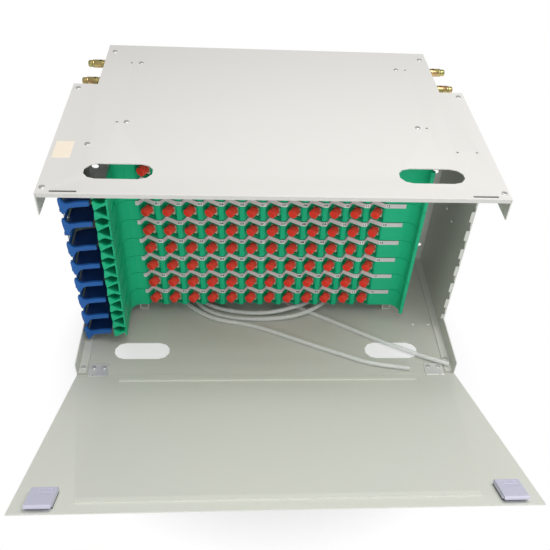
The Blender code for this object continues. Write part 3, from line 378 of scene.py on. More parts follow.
class PatchUnitTray(PropertyGroup):
    """Sizes and colours of the trays."""

    colour: colour_property("Tray", (0.001, 0.51, 0.235), "Moulded tray plastic")
    # The blades' colour is the tray green darkened: painted shade behind the prongs
    blade_shade_colour: colour_property("Deep tray", (0.001, 0.24, 0.11), "The prongs' blades, in shade")
    cap_colour: colour_property("Dust cap", (1.0, 0.052, 0.031), "Soft dust caps in the ports")
    adapter_colour: colour_property("Adapter", (0.66, 0.60, 0.48), "Adapter body inside each window")
    label_colour: colour_property("Label strip", (0.76, 0.72, 0.74), "Printed strip above the ports")
    wall: size_property("Wall", 1.8 * MM, "Thickness of the tray's walls")
    cap_radius: size_property("Cap radius", 5.6 * MM, "Radius of a dust cap")
    cap_length: size_property("Cap length", 10.0 * MM, "Length of a dust cap in front of the face")
    bend_steps: IntProperty(name="Bend steps", description="Faces round a bend", default=14, min=2, max=48)


class PatchUnitGuide(PropertyGroup):
    """The cable guides on the left edge."""

    colour: colour_property("Guide", (0.012, 0.12, 0.46), "Moulded guide plastic")
    # The shelf colour is the guide's blue darkened: painted shade, as the plastic itself is the same as
    # the lip's
    shelf_shade_colour: colour_property("Shelf", (0.004, 0.030, 0.15), "The guide's shelf, a deeper blue")
    lip: size_property("Lip", 3.0 * MM, "Thickness of the guide's front lip")
    rounding: size_property("Rounding", 0.6 * MM, "Radius of the guide's edges")


class PatchUnitLatch(PropertyGroup):
    """The door's latches."""

    colour: colour_property("Latch", (0.60, 0.60, 0.74), "Moulded latch plastic")
    rounding: size_property("Rounding", 0.35 * MM, "Radius of the latch's edges")


class PatchUnitHose(PropertyGroup):
    """The loose protective hose."""

    colour: colour_property("Hose", (0.93, 0.95, 0.93), "Clear plastic of the hose")
    radius: size_property("Radius", 3.0 * MM, "Outside radius of the hose")


class PatchUnitStage(PropertyGroup):
    """Floor and lights."""

    floor: colour_property("Floor", (0.90, 0.90, 0.905), "Pale studio floor")
    key_power: FloatProperty(
        name="Key", description="Power of the large lamp", default=10.5, min=0.0, unit="POWER"
    )
    sky: FloatProperty(name="Sky", description="Strength of the even light", default=0.33, min=0.0)


# Shapes


def placed(name, data, place=None):
    """Put a mesh or a curve into the scene as an object."""
    made = bpy.data.objects.new(name, data)
    if place is not None:
        made.matrix_world = place
    bpy.context.scene.collection.objects.link(made)
    return made


def mesh_of(piece):
    """Take a piece out of the scene and keep its mesh."""
    data = piece.data
    bpy.data.objects.remove(piece, do_unlink=True)
    return data


def mesh_from(name, shape):
    """Turn a bmesh into a mesh, with its faces pointing out."""
    bmesh.ops.recalc_face_normals(shape, faces=shape.faces)
    data = bpy.data.meshes.new(name)
    shape.to_mesh(data)
    shape.free()
    return data


def evaluated_mesh(piece):
    """A piece's mesh as its modifiers leave it."""
    bpy.context.view_layer.update()
    graph = bpy.context.evaluated_depsgraph_get()
    return bpy.data.meshes.new_from_object(piece.evaluated_get(graph))


def prism(outline, low, high, axis="Z"):
    """A flat outline extruded along an axis."""
    place = {
        "X": lambda a, b, c: (c, a, b),
        "Y": lambda a, b, c: (a, c, b),
        "Z": lambda a, b, c: (a, b, c),
    }[axis]
    shape = bmesh.new()
    bottom = [shape.verts.new(place(a, b, low)) for a, b in outline]
    top = [shape.verts.new(place(a, b, high)) for a, b in outline]
    shape.faces.new(bottom)
    shape.faces.new(top[::-1])
    for index in range(len(outline)):
        after = (index + 1) % len(outline)
        shape.faces.new((bottom[index], top[index], top[after], bottom[after]))
    return placed("prism", mesh_from("prism", shape))


def block(low, high):
    """A rectangular block between two corners."""
    outline = [(low[0], low[1]), (high[0], low[1]), (high[0], high[1]), (low[0], high[1])]
    return prism(outline, low[2], high[2])


def block_mm(corners):
    """A rectangular block between two corners in millimetres."""
    low, high = ([part * MM for part in corner] for corner in corners)
    return block(low, high)


def lathe_mesh(name, profile, segments=24):
    """A solid of revolution about +Z. The profile is (radius, height) from bottom to top."""
    shape = bmesh.new()
    rings = []
    for radius, height in profile:
        ring = []
        for step in range(segments):
            angle = math.tau * step / segments
            ring.append(shape.verts.new((radius * math.cos(angle), radius * math.sin(angle), height)))
        rings.append(ring)
    for below, above in zip(rings, rings[1:]):
        for step in range(segments):
            after = (step + 1) % segments
            shape.faces.new((below[step], below[after], above[after], above[step]))
    shape.faces.new(rings[0][::-1])
    shape.faces.new(rings[-1])
    return mesh_from(name, shape)


def aimed(place, direction, roll=0.0):
    """A matrix that puts local +Z along a direction."""
    turn = Vector(direction).to_track_quat("Z", "Y").to_matrix().to_4x4()
    return Matrix.Translation(place) @ turn @ Matrix.Rotation(roll, 4, "Z")


def rod(start, end, radius, segments=BAR_SEGMENTS):
    """A plain round bar between two points, for cutting and joining."""
    start = Vector(start)
    end = Vector(end)
    data = lathe_mesh("rod", [(radius, 0.0), (radius, (end - start).length)], segments)
    return placed("rod", data, aimed(start, end - start))


def axis_rod(start, out, measures):
    """A round bar along an axis: its near end, far end and radius in millimetres."""
    near, far, radius = measures
    return rod(start + out * near * MM, start + out * far * MM, radius * MM)


def stamp(name, templates, places):
    """One object that holds a copy of each mesh at its place."""
    shape = bmesh.new()
    for template, place in zip(templates, places):
        copy = template.copy()
        copy.transform(place)
        shape.from_mesh(copy)
        bpy.data.meshes.remove(copy)
    return placed(name, mesh_from(name, shape))


def solid(name, first, joined=(), cut=()):
    """One closed solid: the first shape with others joined to it and others cut from it."""
    for operation, shapes in (("UNION", joined), ("DIFFERENCE", cut)):
        for other in shapes:
            change = first.modifiers.new(operation.lower(), "BOOLEAN")
            change.operation = operation
            change.object = other
            change.solver = "EXACT"
    data = evaluated_mesh(first)
    data.transform(first.matrix_world)
    for used in (first, *joined, *cut):
        bpy.data.objects.remove(used, do_unlink=True)
    data.name = name
    return placed(name, data)


def bevel(piece, radius, segments, angle):
    """Round a piece's sharp edges."""
    made = piece.modifiers.new("rounded edges", "BEVEL")
    made.width = radius
    made.segments = segments
    made.limit_method = "ANGLE"
    made.angle_limit = math.radians(angle)
    made.harden_normals = True


def shade(piece, angle=40.0):
    """Smooth shading that keeps sharp edges."""
    piece.data.shade_smooth()
    piece.data.set_sharp_from_angle(angle=math.radians(angle))


def round_edges(piece, radius, segments=2):
    """Round a piece's sharp edges and shade it smoothly between them."""
    bevel(piece, radius, segments, 35.0)
    shade(piece)


def dress(piece, material, body, replaced=()):
    """Give a piece its finish, its body and the nodes that it stands for."""
    piece.data.materials.clear()
    piece.data.materials.append(material)
    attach(piece, body)
    if replaced:
        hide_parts(*replaced)


def repaint(node, material, radius=0.0):
    """Give a solid-model node a finish, and rounded edges where a radius is given."""
    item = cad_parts[node]
    for place in item.material_slots:
        place.material = material
    if radius:
        bevel(item, radius, 2, 40.0)


def offset_line(line, distance):
    """The same line moved to its left by a distance, with mitred corners."""
    points = [Vector(point) for point in line]
    normals = []
    for one, other in zip(points, points[1:]):
        along = (other - one).normalized()
        normals.append(Vector((-along.y, along.x)))
    moved = []
    for index, point in enumerate(points):
        before = normals[max(index - 1, 0)]
        after = normals[min(index, len(normals) - 1)]
        mitre = (before + after).normalized()
        shifted = point + mitre * (distance / mitre.dot(before))
        moved.append((shifted.x, shifted.y))
    return moved


def arc(centre, radius, start, end, steps):
    """Points on an arc, angles in degrees."""
    points = []
    for step in range(steps + 1):
        angle = math.radians(start + (end - start) * step / steps)
        points.append((centre[0] + radius * math.cos(angle), centre[1] + radius * math.sin(angle)))
    return points


def smooth_point(points, position):
    """A point on the Catmull-Rom curve through some points."""
    last = len(points) - 1
    index = min(int(position), last - 1)
    share = position - index
    before = points[max(index - 1, 0)]
    start = points[index]
    end = points[index + 1]
    after = points[min(index + 2, last)]
    square = share * share
    cube = square * share
    return 0.5 * (
        2 * start
        + (end - before) * share
        + (2 * before - 5 * start + 4 * end - after) * square
        + (3 * start - before - 3 * end + after) * cube
    )


def route_points(route, count, fineness=20):
    """Equal steps along the smooth curve through the route's own points."""
    points = [Vector(point) * MM for point in route]
    fine_count = fineness * (len(points) - 1)
    fine = [smooth_point(points, step / fineness) for step in range(fine_count + 1)]
    lengths = [0.0]
    for one, other in zip(fine, fine[1:]):
        lengths.append(lengths[-1] + (other - one).length)
    spaced = []
    place = 0
    for step in range(count):
        target = lengths[-1] * step / (count - 1)
        while place < len(lengths) - 2 and lengths[place + 1] < target:
            place += 1
        share = (target - lengths[place]) / (lengths[place + 1] - lengths[place])
        spaced.append(fine[place].lerp(fine[place + 1], min(share, 1.0)))
    return spaced


# Finishes


def start_group(name, sockets):
    """A new node group with its named inputs and outputs."""
    group = bpy.data.node_groups.new(name, "ShaderNodeTree")
    for title, kind, direction, default in sockets:
        made = group.interface.new_socket(title, in_out=direction, socket_type=kind)
        if default is not None:
            made.default_value = default
    return group


def add_node(nodes, kind, values=None, **settings):
    """A shader node with its own settings and its sockets' values."""
    made = nodes.new(kind)
    for name, value in settings.items():
        setattr(made, name, value)
    for socket, value in (values or {}).items():
        made.inputs[socket].default_value = value
    return made


def surface_group():
    """A group that varies a colour and a roughness over a surface and gives its fine grain."""
    name = "Moulded or coated surface"
    if name in bpy.data.node_groups:
        return bpy.data.node_groups[name]
    group = start_group(name, (
        ("Colour", "NodeSocketColor", "INPUT", (0.5, 0.5, 0.5, 1.0)),
        ("Blotch Colour", "NodeSocketColor", "INPUT", (0.4, 0.4, 0.4, 1.0)),
        ("Blotch Scale", "NodeSocketFloat", "INPUT", 14.0),
        ("Blotch Amount", "NodeSocketFloat", "INPUT", 0.3),
        ("Grain Scale", "NodeSocketFloat", "INPUT", 900.0),
        ("Roughness", "NodeSocketFloat", "INPUT", 0.4),
        ("Roughness Swing", "NodeSocketFloat", "INPUT", 0.12),
        ("Colour", "NodeSocketColor", "OUTPUT", None),
        ("Roughness", "NodeSocketFloat", "OUTPUT", None),
        ("Height", "NodeSocketFloat", "OUTPUT", None),
    ))
    nodes = group.nodes
    link = group.links.new
    inlet = nodes.new("NodeGroupInput")
    outlet = nodes.new("NodeGroupOutput")
    place = nodes.new("ShaderNodeTexCoord")
    blotch = add_node(nodes, "ShaderNodeTexNoise", {"Detail": 4.0})
    link(place.outputs["Object"], blotch.inputs["Vector"])
    link(inlet.outputs["Blotch Scale"], blotch.inputs["Scale"])
    spread = add_node(nodes, "ShaderNodeMapRange", {"From Min": 0.35, "From Max": 0.68})
    link(blotch.outputs["Fac"], spread.inputs["Value"])
    amount = add_node(nodes, "ShaderNodeMath", operation="MULTIPLY")
    link(spread.outputs["Result"], amount.inputs[0])
    link(inlet.outputs["Blotch Amount"], amount.inputs[1])
    tint = add_node(nodes, "ShaderNodeMix", data_type="RGBA")
    link(amount.outputs["Value"], tint.inputs["Factor"])
    link(inlet.outputs["Colour"], tint.inputs["A"])
    link(inlet.outputs["Blotch Colour"], tint.inputs["B"])
    link(tint.outputs["Result"], outlet.inputs["Colour"])
    grain = add_node(nodes, "ShaderNodeTexNoise", {"Detail": 2.0})
    link(place.outputs["Object"], grain.inputs["Vector"])
    link(inlet.outputs["Grain Scale"], grain.inputs["Scale"])
    link(grain.outputs["Fac"], outlet.inputs["Height"])
    swing = add_node(nodes, "ShaderNodeMath", operation="MULTIPLY_ADD")
    link(spread.outputs["Result"], swing.inputs[0])
    link(inlet.outputs["Roughness Swing"], swing.inputs[1])
    link(inlet.outputs["Roughness"], swing.inputs[2])
    link(swing.outputs["Value"], outlet.inputs["Roughness"])
    return group


def rub_group():
    """A group that lightens or darkens a colour where edges are rubbed."""
    name = "Rubbed edges"
    if name in bpy.data.node_groups:
        return bpy.data.node_groups[name]
    group = start_group(name, (
        ("Colour", "NodeSocketColor", "INPUT", (0.5, 0.5, 0.5, 1.0)),
        ("Rubbed Colour", "NodeSocketColor", "INPUT", (0.8, 0.8, 0.8, 1.0)),
        ("Amount", "NodeSocketFloat", "INPUT", 0.4),
        ("Colour", "NodeSocketColor", "OUTPUT", None),
    ))
    nodes = group.nodes
    link = group.links.new
    inlet = nodes.new("NodeGroupInput")
    outlet = nodes.new("NodeGroupOutput")
    shape = nodes.new("ShaderNodeNewGeometry")
    edge = add_node(nodes, "ShaderNodeMapRange", {"From Min": 0.52, "From Max": 0.60})
    link(shape.outputs["Pointiness"], edge.inputs["Value"])
    amount = add_node(nodes, "ShaderNodeMath", operation="MULTIPLY")
    link(edge.outputs["Result"], amount.inputs[0])
    link(inlet.outputs["Amount"], amount.inputs[1])
    mix = add_node(nodes, "ShaderNodeMix", data_type="RGBA")
    link(amount.outputs["Value"], mix.inputs["Factor"])
    link(inlet.outputs["Colour"], mix.inputs["A"])
    link(inlet.outputs["Rubbed Colour"], mix.inputs["B"])
    link(mix.outputs["Result"], outlet.inputs["Colour"])
    return group


def finish(
    name, colour, roughness, metallic=0.0, swing=0.1, blotch=0.3, blotch_scale=14.0, shift=0.82,
    grain_scale=900.0, bump=0.15, rub=0.35, rubbed=None, **sockets,
):
    """A finish with slow colour and gloss changes, a fine grain and rubbed edges."""
    if name in bpy.data.materials:
        return bpy.data.materials[name]
    made = bpy.data.materials.new(name)
    made.use_nodes = True
    nodes = made.node_tree.nodes
    link = made.node_tree.links.new
    shader = nodes["Principled BSDF"]
    surface = add_node(nodes, "ShaderNodeGroup", node_tree=surface_group())
    surface.inputs["Colour"].default_value = (*colour, 1.0)
    surface.inputs["Blotch Colour"].default_value = (*(part * shift for part in colour), 1.0)
    surface.inputs["Blotch Scale"].default_value = blotch_scale
    surface.inputs["Blotch Amount"].default_value = blotch
    surface.inputs["Grain Scale"].default_value = grain_scale
    surface.inputs["Roughness"].default_value = roughness
    surface.inputs["Roughness Swing"].default_value = swing
    edges = add_node(nodes, "ShaderNodeGroup", node_tree=rub_group())
    lighter = rubbed or tuple(min(1.0, part * 1.25 + 0.04) for part in colour)
    edges.inputs["Rubbed Colour"].default_value = (*lighter, 1.0)
    edges.inputs["Amount"].default_value = rub
    link(surface.outputs["Colour"], edges.inputs["Colour"])
    link(edges.outputs["Colour"], shader.inputs["Base Color"])
    link(surface.outputs["Roughness"], shader.inputs["Roughness"])
    relief = add_node(nodes, "ShaderNodeBump", {"Strength": bump, "Distance": 0.1 * MM})
    link(surface.outputs["Height"], relief.inputs["Height"])
    link(relief.outputs["Normal"], shader.inputs["Normal"])
    shader.inputs["Metallic"].default_value = metallic
    for socket, value in sockets.items():
        shader.inputs[socket.replace("_", " ")].default_value = value
    return made


def outside_coat(case):
    """Off-white powder coat with a fine orange-peel texture."""
    return finish(
        "powder_coat_outside", case.outside, 0.42, blotch=0.25, shift=0.95, blotch_scale=5.0, swing=0.08,
        grain_scale=700.0, bump=0.22,
    )


def inside_coat(name, colour):
    """The same coat on the inside, slightly greener."""
    return finish(
        name, colour, 0.40, shift=0.93, blotch_scale=6.0, swing=0.08, grain_scale=700.0, bump=0.22
    )


def zinc():
    """Bright zinc plate with cloudy patches."""
    return finish(
        "zinc_plate", (0.74, 0.74, 0.73), 0.34, metallic=0.45, blotch=0.5, shift=0.8, blotch_scale=60.0,
        swing=0.2, grain_scale=1600.0, bump=0.1,
    )


def yellow_zinc():
    """Yellow chromate over zinc, which shades into pink and green."""
    made = finish(
        "yellow_chromate", (0.74, 0.55, 0.22), 0.24, metallic=1.0, shift=0.75,
        blotch_scale=90.0, swing=0.15, grain_scale=1500.0, bump=0.08,
    )
    nodes = made.node_tree.nodes
    link = made.node_tree.links.new
    place = nodes.new("ShaderNodeTexCoord")
    bands = add_node(nodes, "ShaderNodeTexNoise", {"Scale": 150.0})
    link(place.outputs["Object"], bands.inputs["Vector"])
    ramp = nodes.new("ShaderNodeValToRGB")
    pink, green = ramp.color_ramp.elements
    pink.position = 0.34
    pink.color = (0.80, 0.47, 0.28, 1.0)
    green.position = 0.62
    green.color = (0.62, 0.60, 0.25, 1.0)
    ramp.color_ramp.elements.new(0.48).color = (0.82, 0.63, 0.25, 1.0)
    link(bands.outputs["Fac"], ramp.inputs["Fac"])
    link(ramp.outputs["Color"], nodes["Principled BSDF"].inputs["Base Color"])
    return made


def steel():
    """Bright screw heads."""
    return finish(
        "screw_steel", (0.72, 0.72, 0.71), 0.32, metallic=0.7, blotch=0.4, shift=0.8, blotch_scale=200.0,
        swing=0.15, bump=0.05,
    )


def black_plastic():
    """Matt black plastic of the guide plates and the strikes."""
    return finish("guide_plate_black", (0.02, 0.02, 0.022), 0.5, bump=0.1)


def sticker_paper(case):
    """Cream paper."""
    return finish(
        "sticker_paper", case.sticker_colour, 0.62, blotch=0.4, shift=0.92, blotch_scale=60.0,
        grain_scale=1500.0, bump=0.1, rub=0.0,
    )


def tray_plastic(tray):
    """Green moulded plastic."""
    return finish(
        "tray_plastic", tray.colour, 0.33, blotch=0.35, shift=0.86, blotch_scale=20.0,
        grain_scale=1400.0, bump=0.06, rub=0.5, rubbed=(0.05, 0.62, 0.34), Specular_IOR_Level=0.12,
    )


def shaded_blade_plastic(tray):
    """The same plastic, darker, for the prongs' blades: painted shade, as the blades lie in shade behind
    the prongs' faces.
    """
    return finish(
        "tray_plastic_painted_shade", tray.blade_shade_colour, 0.4, blotch=0.5, shift=0.6, blotch_scale=60.0,
        grain_scale=1400.0, bump=0.06, rub=0.6, rubbed=(0.01, 0.40, 0.20), Specular_IOR_Level=0.12,
    )


def cap_plastic(tray):
    """Soft red plastic of the dust caps."""
    return finish(
        "cap_plastic", tray.cap_colour, 0.36, shift=0.8, blotch_scale=60.0, swing=0.12,
        grain_scale=1200.0, bump=0.06, rub=0.4, rubbed=(1.0, 0.24, 0.15), Specular_IOR_Level=0.2,
    )


def adapter_plastic(tray):
    """Beige plastic of the adapters."""
    return finish("adapter_plastic", tray.adapter_colour, 0.4, shift=0.85, blotch_scale=50.0)


def label_plastic(tray):
    """Pale strip above the ports."""
    return finish(
        "label_plastic", tray.label_colour, 0.5, shift=0.92, blotch_scale=30.0, grain_scale=1500.0,
        bump=0.08, rub=0.0,
    )


def plate_plastic():
    """White plates that carry the ports' numbers."""
    return finish(
        "number_plate", (0.94, 0.93, 0.93), 0.5, blotch=0.2, shift=0.95, grain_scale=1500.0, bump=0.05,
        rub=0.0,
    )


def number_ink():
    """Black print."""
    return finish("number_ink", (0.02, 0.02, 0.03), 0.6, blotch=0.2, bump=0.05, rub=0.0)


def port_painted_shadow():
    """Painted shadow: a near-black finish for the sheet that stands in for the shade inside a port, behind
    its adapter.
    """
    return finish("port_painted_shadow", (0.012, 0.03, 0.022), 0.6, bump=0.05, rub=0.0)


def guide_plastic(guide):
    """Blue moulded plastic."""
    return finish(
        "guide_plastic", guide.colour, 0.38, blotch=0.35, blotch_scale=40.0, swing=0.12,
        grain_scale=1200.0, bump=0.06, rub=0.5, rubbed=(0.06, 0.26, 0.66), Specular_IOR_Level=0.3,
    )


def shelf_shade_plastic(guide):
    """The same plastic, darker, for the guides' shelves: painted shade, as the shelves lie in shadow under
    the cover and the guides above.
    """
    return finish(
        "guide_shelf_painted_shade", guide.shelf_shade_colour, 0.34, blotch=0.5, shift=0.45, blotch_scale=30.0,
        swing=0.15, grain_scale=1200.0, bump=0.06, rub=0.3, rubbed=(0.03, 0.12, 0.40),
        Specular_IOR_Level=0.3,
    )


def latch_plastic(latch):
    """Pale lilac-grey moulded plastic."""
    return finish(
        "latch_plastic", latch.colour, 0.42, shift=0.88, blotch_scale=60.0, grain_scale=1300.0,
        bump=0.07, rub=0.5, rubbed=(0.70, 0.70, 0.80),
    )


def clear_hose(hose):
    """Clear soft plastic, slightly milky."""
    return finish(
        "hose_plastic", hose.colour, 0.22, shift=0.9, blotch_scale=40.0, grain_scale=500.0, bump=0.02,
        rub=0.0, Alpha=0.62, Specular_IOR_Level=0.8,
    )


# Tray pieces


def port_frame(index):
    """The middle of a port's slanted stretch, and its outward and sideways directions."""
    x = FIRST_PORT_X + PORT_PITCH * index
    first = Vector((x + TOOTH_PEAK, FACE_Y + TOOTH_BACK, 0.0))
    last = Vector((x + TOOTH_END, FACE_Y, 0.0))
    along = (last - first).normalized()
    outward = Vector((along.y, -along.x, 0.0))
    return (first + last) / 2, outward, along


def slanted_block(index, near, far, width, bottom, top, shift=0.0):
    """A block square to a port's stretch, from near to far along its outward direction."""
    middle, outward, along = port_frame(index)
    middle = middle + along * shift
    half = along * (width / 2)
    corners = (
        middle + outward * near - half,
        middle + outward * near + half,
        middle + outward * far + half,
        middle + outward * far - half,
    )
    return prism([(corner.x, corner.y) for corner in corners], bottom, top)


def face_line():
    """The toothed front of a tray seen from above."""
    points = [(FIRST_PORT_X + TOOTH_START, FACE_Y)]
    for index in range(PORTS):
        x = FIRST_PORT_X + PORT_PITCH * index
        points.append((x + TOOTH_PEAK, FACE_Y + TOOTH_BACK))
        points.append((x + TOOTH_END, FACE_Y))
        points.append((x + PORT_PITCH + TOOTH_START, FACE_Y))
    return points


def bent_end(start, flat_x, wall_x, wall_front, wall, steps):
    """One end of a tray's front seen from above, bent forward into a short side wall."""
    side = math.copysign(1, wall_x - flat_x)
    radius = abs(wall_x - flat_x)
    centre = (flat_x, FACE_Y - radius)
    turned = 0 if side > 0 else 180
    inner = [(start, FACE_Y), *arc(centre, radius, 90, turned, steps), (wall_x, wall_front)]
    outer = [(wall_x + side * wall, wall_front), *arc(centre, radius + wall, turned, 90, steps)]
    return prism([*inner, *outer, (start, FACE_Y + wall)], 0.0, TRAY_TOP)


def tray_box(side, wall):
    """One side of a tray's box with the runner that slides in its rail."""
    inner = side * (TRAY_HALF - wall)
    outer = side * TRAY_HALF
    runner = side * (TRAY_HALF + RUNNER_REACH)
    front = FACE_Y + SIDE_SETBACKS[side]
    return [
        block((min(inner, outer), front, 0.0), (max(inner, outer), TRAY_REAR, SIDE_TOP)),
        block(
            (min(inner, runner), RUNNER_ENDS[0], RUNNER_LOW),
            (max(inner, runner), RUNNER_ENDS[1], RUNNER_HIGH),
        ),
    ]


def prong_outline(bottom, up):
    """A cord-retaining prong seen from the front."""
    inner = LEFT_WALL_X - PRONG_SUNK
    points = [(PRONG_TIP_X + x * MM, z * MM) for x, z in PRONG_EDGE_MM]
    points += [(inner, z * MM) for z in PRONG_ROOT_MM]
    points += [(PRONG_TIP_X + x * MM, z * MM) for x, z in PRONG_FOLD_MM]
    return [(x, bottom + up * z) for x, z in points]


def tray_mesh(tray):
    """One tray: toothed face, bent ends, cable prongs, floor, sides, runners and spools."""
    wall = tray.wall
    top = TRAY_TOP
    line = face_line()
    face = prism(line + offset_line(line, wall)[::-1], 0.0, top)
    left_start, right_start = line[0][0], FIRST_PORT_X + PORT_PITCH * PORTS
    rim = (RIGHT_WALL_X + wall, RIGHT_WALL_FRONT)
    joined = [
        bent_end(left_start, LEFT_FLAT_X, LEFT_WALL_X, LEFT_WALL_FRONT, wall, tray.bend_steps),
        bent_end(right_start, RIGHT_FLAT_X, RIGHT_WALL_X, RIGHT_WALL_FRONT, wall, tray.bend_steps),
        rod((*rim, 0.0), (*rim, top), RIM_RADIUS, 20),
        block((-TRAY_HALF, FACE_Y + FLOOR_SETBACK, 0.0), (TRAY_HALF, TRAY_REAR, wall)),
        block((-TRAY_HALF, TRAY_REAR - wall, 0.0), (TRAY_HALF, TRAY_REAR, SIDE_TOP)),
        *tray_box(-1, wall),
        *tray_box(1, wall),
    ]
    for bottom, up in ((0.0, 1.0), (top, -1.0)):
        joined.append(prism(prong_outline(bottom, up), PRONG_FRONT, PRONG_FRONT + PRONG_FACE, axis="Y"))
    for x in SPOOL_XS:
        joined.append(rod((x, SPOOL_Y, 0.5 * wall), (x, SPOOL_Y, SPOOL_TOP), SPOOL_RADIUS, 28))
    cuts = [
        slanted_block(index, -4 * wall, 3 * wall, width, WINDOW_BOTTOM, high, shift)
        for index in range(PORTS)
        for width, high, shift in ((WINDOW_WIDTH, WINDOW_TOP, 0.0), (SLOT_WIDTH, SLOT_TOP, SLOT_SHIFT))
    ]
    for x in SPOOL_XS:
        cuts.append(rod((x, SPOOL_Y, wall), (x, SPOOL_Y, SPOOL_OPEN_TOP), SPOOL_BORE, 28))
    slit_low = (LEFT_WALL_X - 3 * wall, PRONG_FRONT - wall, top / 2 - SLIT_HALF)
    slit_high = (LEFT_WALL_X + 3 * wall, SLIT_BACK, top / 2 + SLIT_HALF)
    cuts.append(block(slit_low, slit_high))
    shell = solid("tray", face, joined, cuts)
    bars = [
        slanted_block(index, -BAR_DEPTH, 0.0, SLOT_WIDTH + wall, low, low + BAR_HEIGHT, SLOT_SHIFT)
        for index in range(PORTS)
        for low in BAR_LOWS
    ]
    return mesh_of(solid("tray", shell, bars))


def blade_mesh():
    """The deep blades behind the faces of a tray's two prongs."""
    start = PRONG_FRONT + PRONG_FACE - PRONG_LAP
    low = prism(prong_outline(0.0, 1.0), start, PRONG_BACK, axis="Y")
    high = prism(prong_outline(TRAY_TOP, -1.0), start, PRONG_BACK, axis="Y")
    return mesh_of(solid("blades", low, [high]))


def cap_mesh(tray):
    """A dust cap: a soft sleeve with a rounded closed end."""
    radius = tray.cap_radius
    length = tray.cap_length + CAP_SUNK
    foot = [(radius * CAP_FOOT_SHARE, 0.0), (radius, CAP_FOOT)]
    end = [(radius * share, length - depth * MM) for share, depth in CAP_END]
    return lathe_mesh("dust cap", foot + end)


def adapter_mesh():
    """A port's adapter: a square body with a flange, its face proud of the window."""
    tail_ends = [(0, 0, end) for end in ADAPTER_TAIL_ENDS]
    bore_ends = [(0, 0, end) for end in ADAPTER_BORE_ENDS]
    tail = rod(*tail_ends, ADAPTER_TAIL_RADIUS)
    bore = rod(*bore_ends, ADAPTER_BORE_RADIUS, 20)
    body = block_mm(ADAPTER_BODY_MM)
    return mesh_of(solid("adapter", body, [block_mm(ADAPTER_FLANGE_MM), tail], [bore]))


def shade_sheet_mesh():
    """The dark sheet behind a port: painted shade that stands in for the shade inside it."""
    half = SHADE_SHEET_WIDTH / 2
    return mesh_of(block((-half, SHADE_SHEET_LOW, -SHADE_SHEET_BACK), (half, SHADE_SHEET_HIGH, -SHADE_SHEET_FRONT)))


def plate_mesh():
    """The small plate that carries a port's number."""
    half = PLATE_WIDTH / 2
    high = PLATE_HEIGHT / 2
    return mesh_of(block((-half, -high, PLATE_BACK - PLATE_FRONT), (half, high, 0.0)))


def number_mesh(text):
    """A port's number as a thin raised mesh that faces local +Z."""
    curve = bpy.data.curves.new("number", "FONT")
    curve.body = text
    curve.size = NUMBER_SIZE
    curve.align_x = "CENTER"
    curve.align_y = "CENTER"
    curve.extrude = NUMBER_RELIEF
    curve.offset = NUMBER_WEIGHT
    made = placed("number", curve)
    data = evaluated_mesh(made)
    bpy.data.objects.remove(made, do_unlink=True)
    bpy.data.curves.remove(curve)
    return data


def port_places(lift, ahead):
    """Where each port's piece goes, its local +Z outward and +Y up."""
    places = []
    for index in range(PORTS):
        middle, outward, along = port_frame(index)
        turn = Matrix((-along, UP, outward)).transposed().to_4x4()
        place = middle + outward * ahead + Vector((0, 0, lift))
        places.append(Matrix.Translation(place) @ turn)
    return places


def number_places(lift):
    """The middle of each flat between two ports on a label strip, its local +Z toward the front."""
    places = []
    for index in range(PORTS):
        x = FIRST_PORT_X + PORT_PITCH * index + (TOOTH_END + PORT_PITCH + TOOTH_START) / 2
        z = lift + TRAY_TOP - LABEL_HEIGHT / 2
        places.append(aimed((x, FACE_Y - PLATE_FRONT, z), FRONT))
    return places


# Cable guides


def guide_outline():
    """The front of a cable guide as (x, z), smooth from its bar to its fishtail."""
    half = GUIDE_BAR / 2
    corners = [(GUIDE_END_X - x * MM, half - z * MM) for x, z in BAR_TOP_MM]
    corners += [(GUIDE_TIP_X + x * MM, z * MM) for x, z in FISHTAIL_MM]
    corners += [(GUIDE_END_X - x * MM, -half - z * MM) for x, z in BAR_FOOT_MM]
    points = [Vector(corner) for corner in corners]
    steps = (len(points) - 1) * GUIDE_SMOOTH
    smooth = [smooth_point(points, step / GUIDE_SMOOTH) for step in range(steps)]
    return [(point.x, point.y) for point in (*smooth, points[-1])]


def shelf_solid(front):
    """A guide's curved shelf, from behind its lip to its back."""
    upper = []
    lower = []
    for step in range(SHELF_STEPS + 1):
        share = step / SHELF_STEPS
        x = GUIDE_END_X + (GUIDE_TIP_X + HOOK_BAR - GUIDE_END_X) * share
        z = (SHELF_HIGH_MM - SHELF_FALL_MM * share**SHELF_CURVE) * MM
        upper.append((x, z))
        lower.append((x, z - (SHELF_THICKNESS_MM + SHELF_SWELL_MM * share) * MM))
    return prism(upper + lower[::-1], front, SHELF_BACK, axis="Y")


def lip_solid(lip, middle):
    """A guide's front lip with the hook that holds it on the wall's flange."""
    bar = GUIDE_TIP_X + HOOK_BAR
    outside = CAD_WALL - HOOK_REACH
    hook_outline = [
        (outside, HOOK_FRONT),
        (GUIDE_TIP_X, HOOK_FRONT),
        (GUIDE_TIP_X, middle),
        (bar, middle),
        (bar, HOOK_BACK),
        (outside, HOOK_BACK),
    ]
    hook = prism(hook_outline, HOOK_LOW, HOOK_HIGH)
    groove = block(
        (CAD_WALL - SEAT_GAP, EDGE_FLANGE_Y - SEAT_GAP, HOOK_LOW - GROOVE_OVER),
        (CAD_WALL + EDGE_FLANGE + SEAT_GAP, HOOK_BACK + GROOVE_OVER, HOOK_HIGH + GROOVE_OVER),
    )
    front = prism(guide_outline(), GUIDE_FRONT, GUIDE_FRONT + lip, axis="Y")
    return solid("guide", front, [hook], [groove])


# Fasteners and small fittings


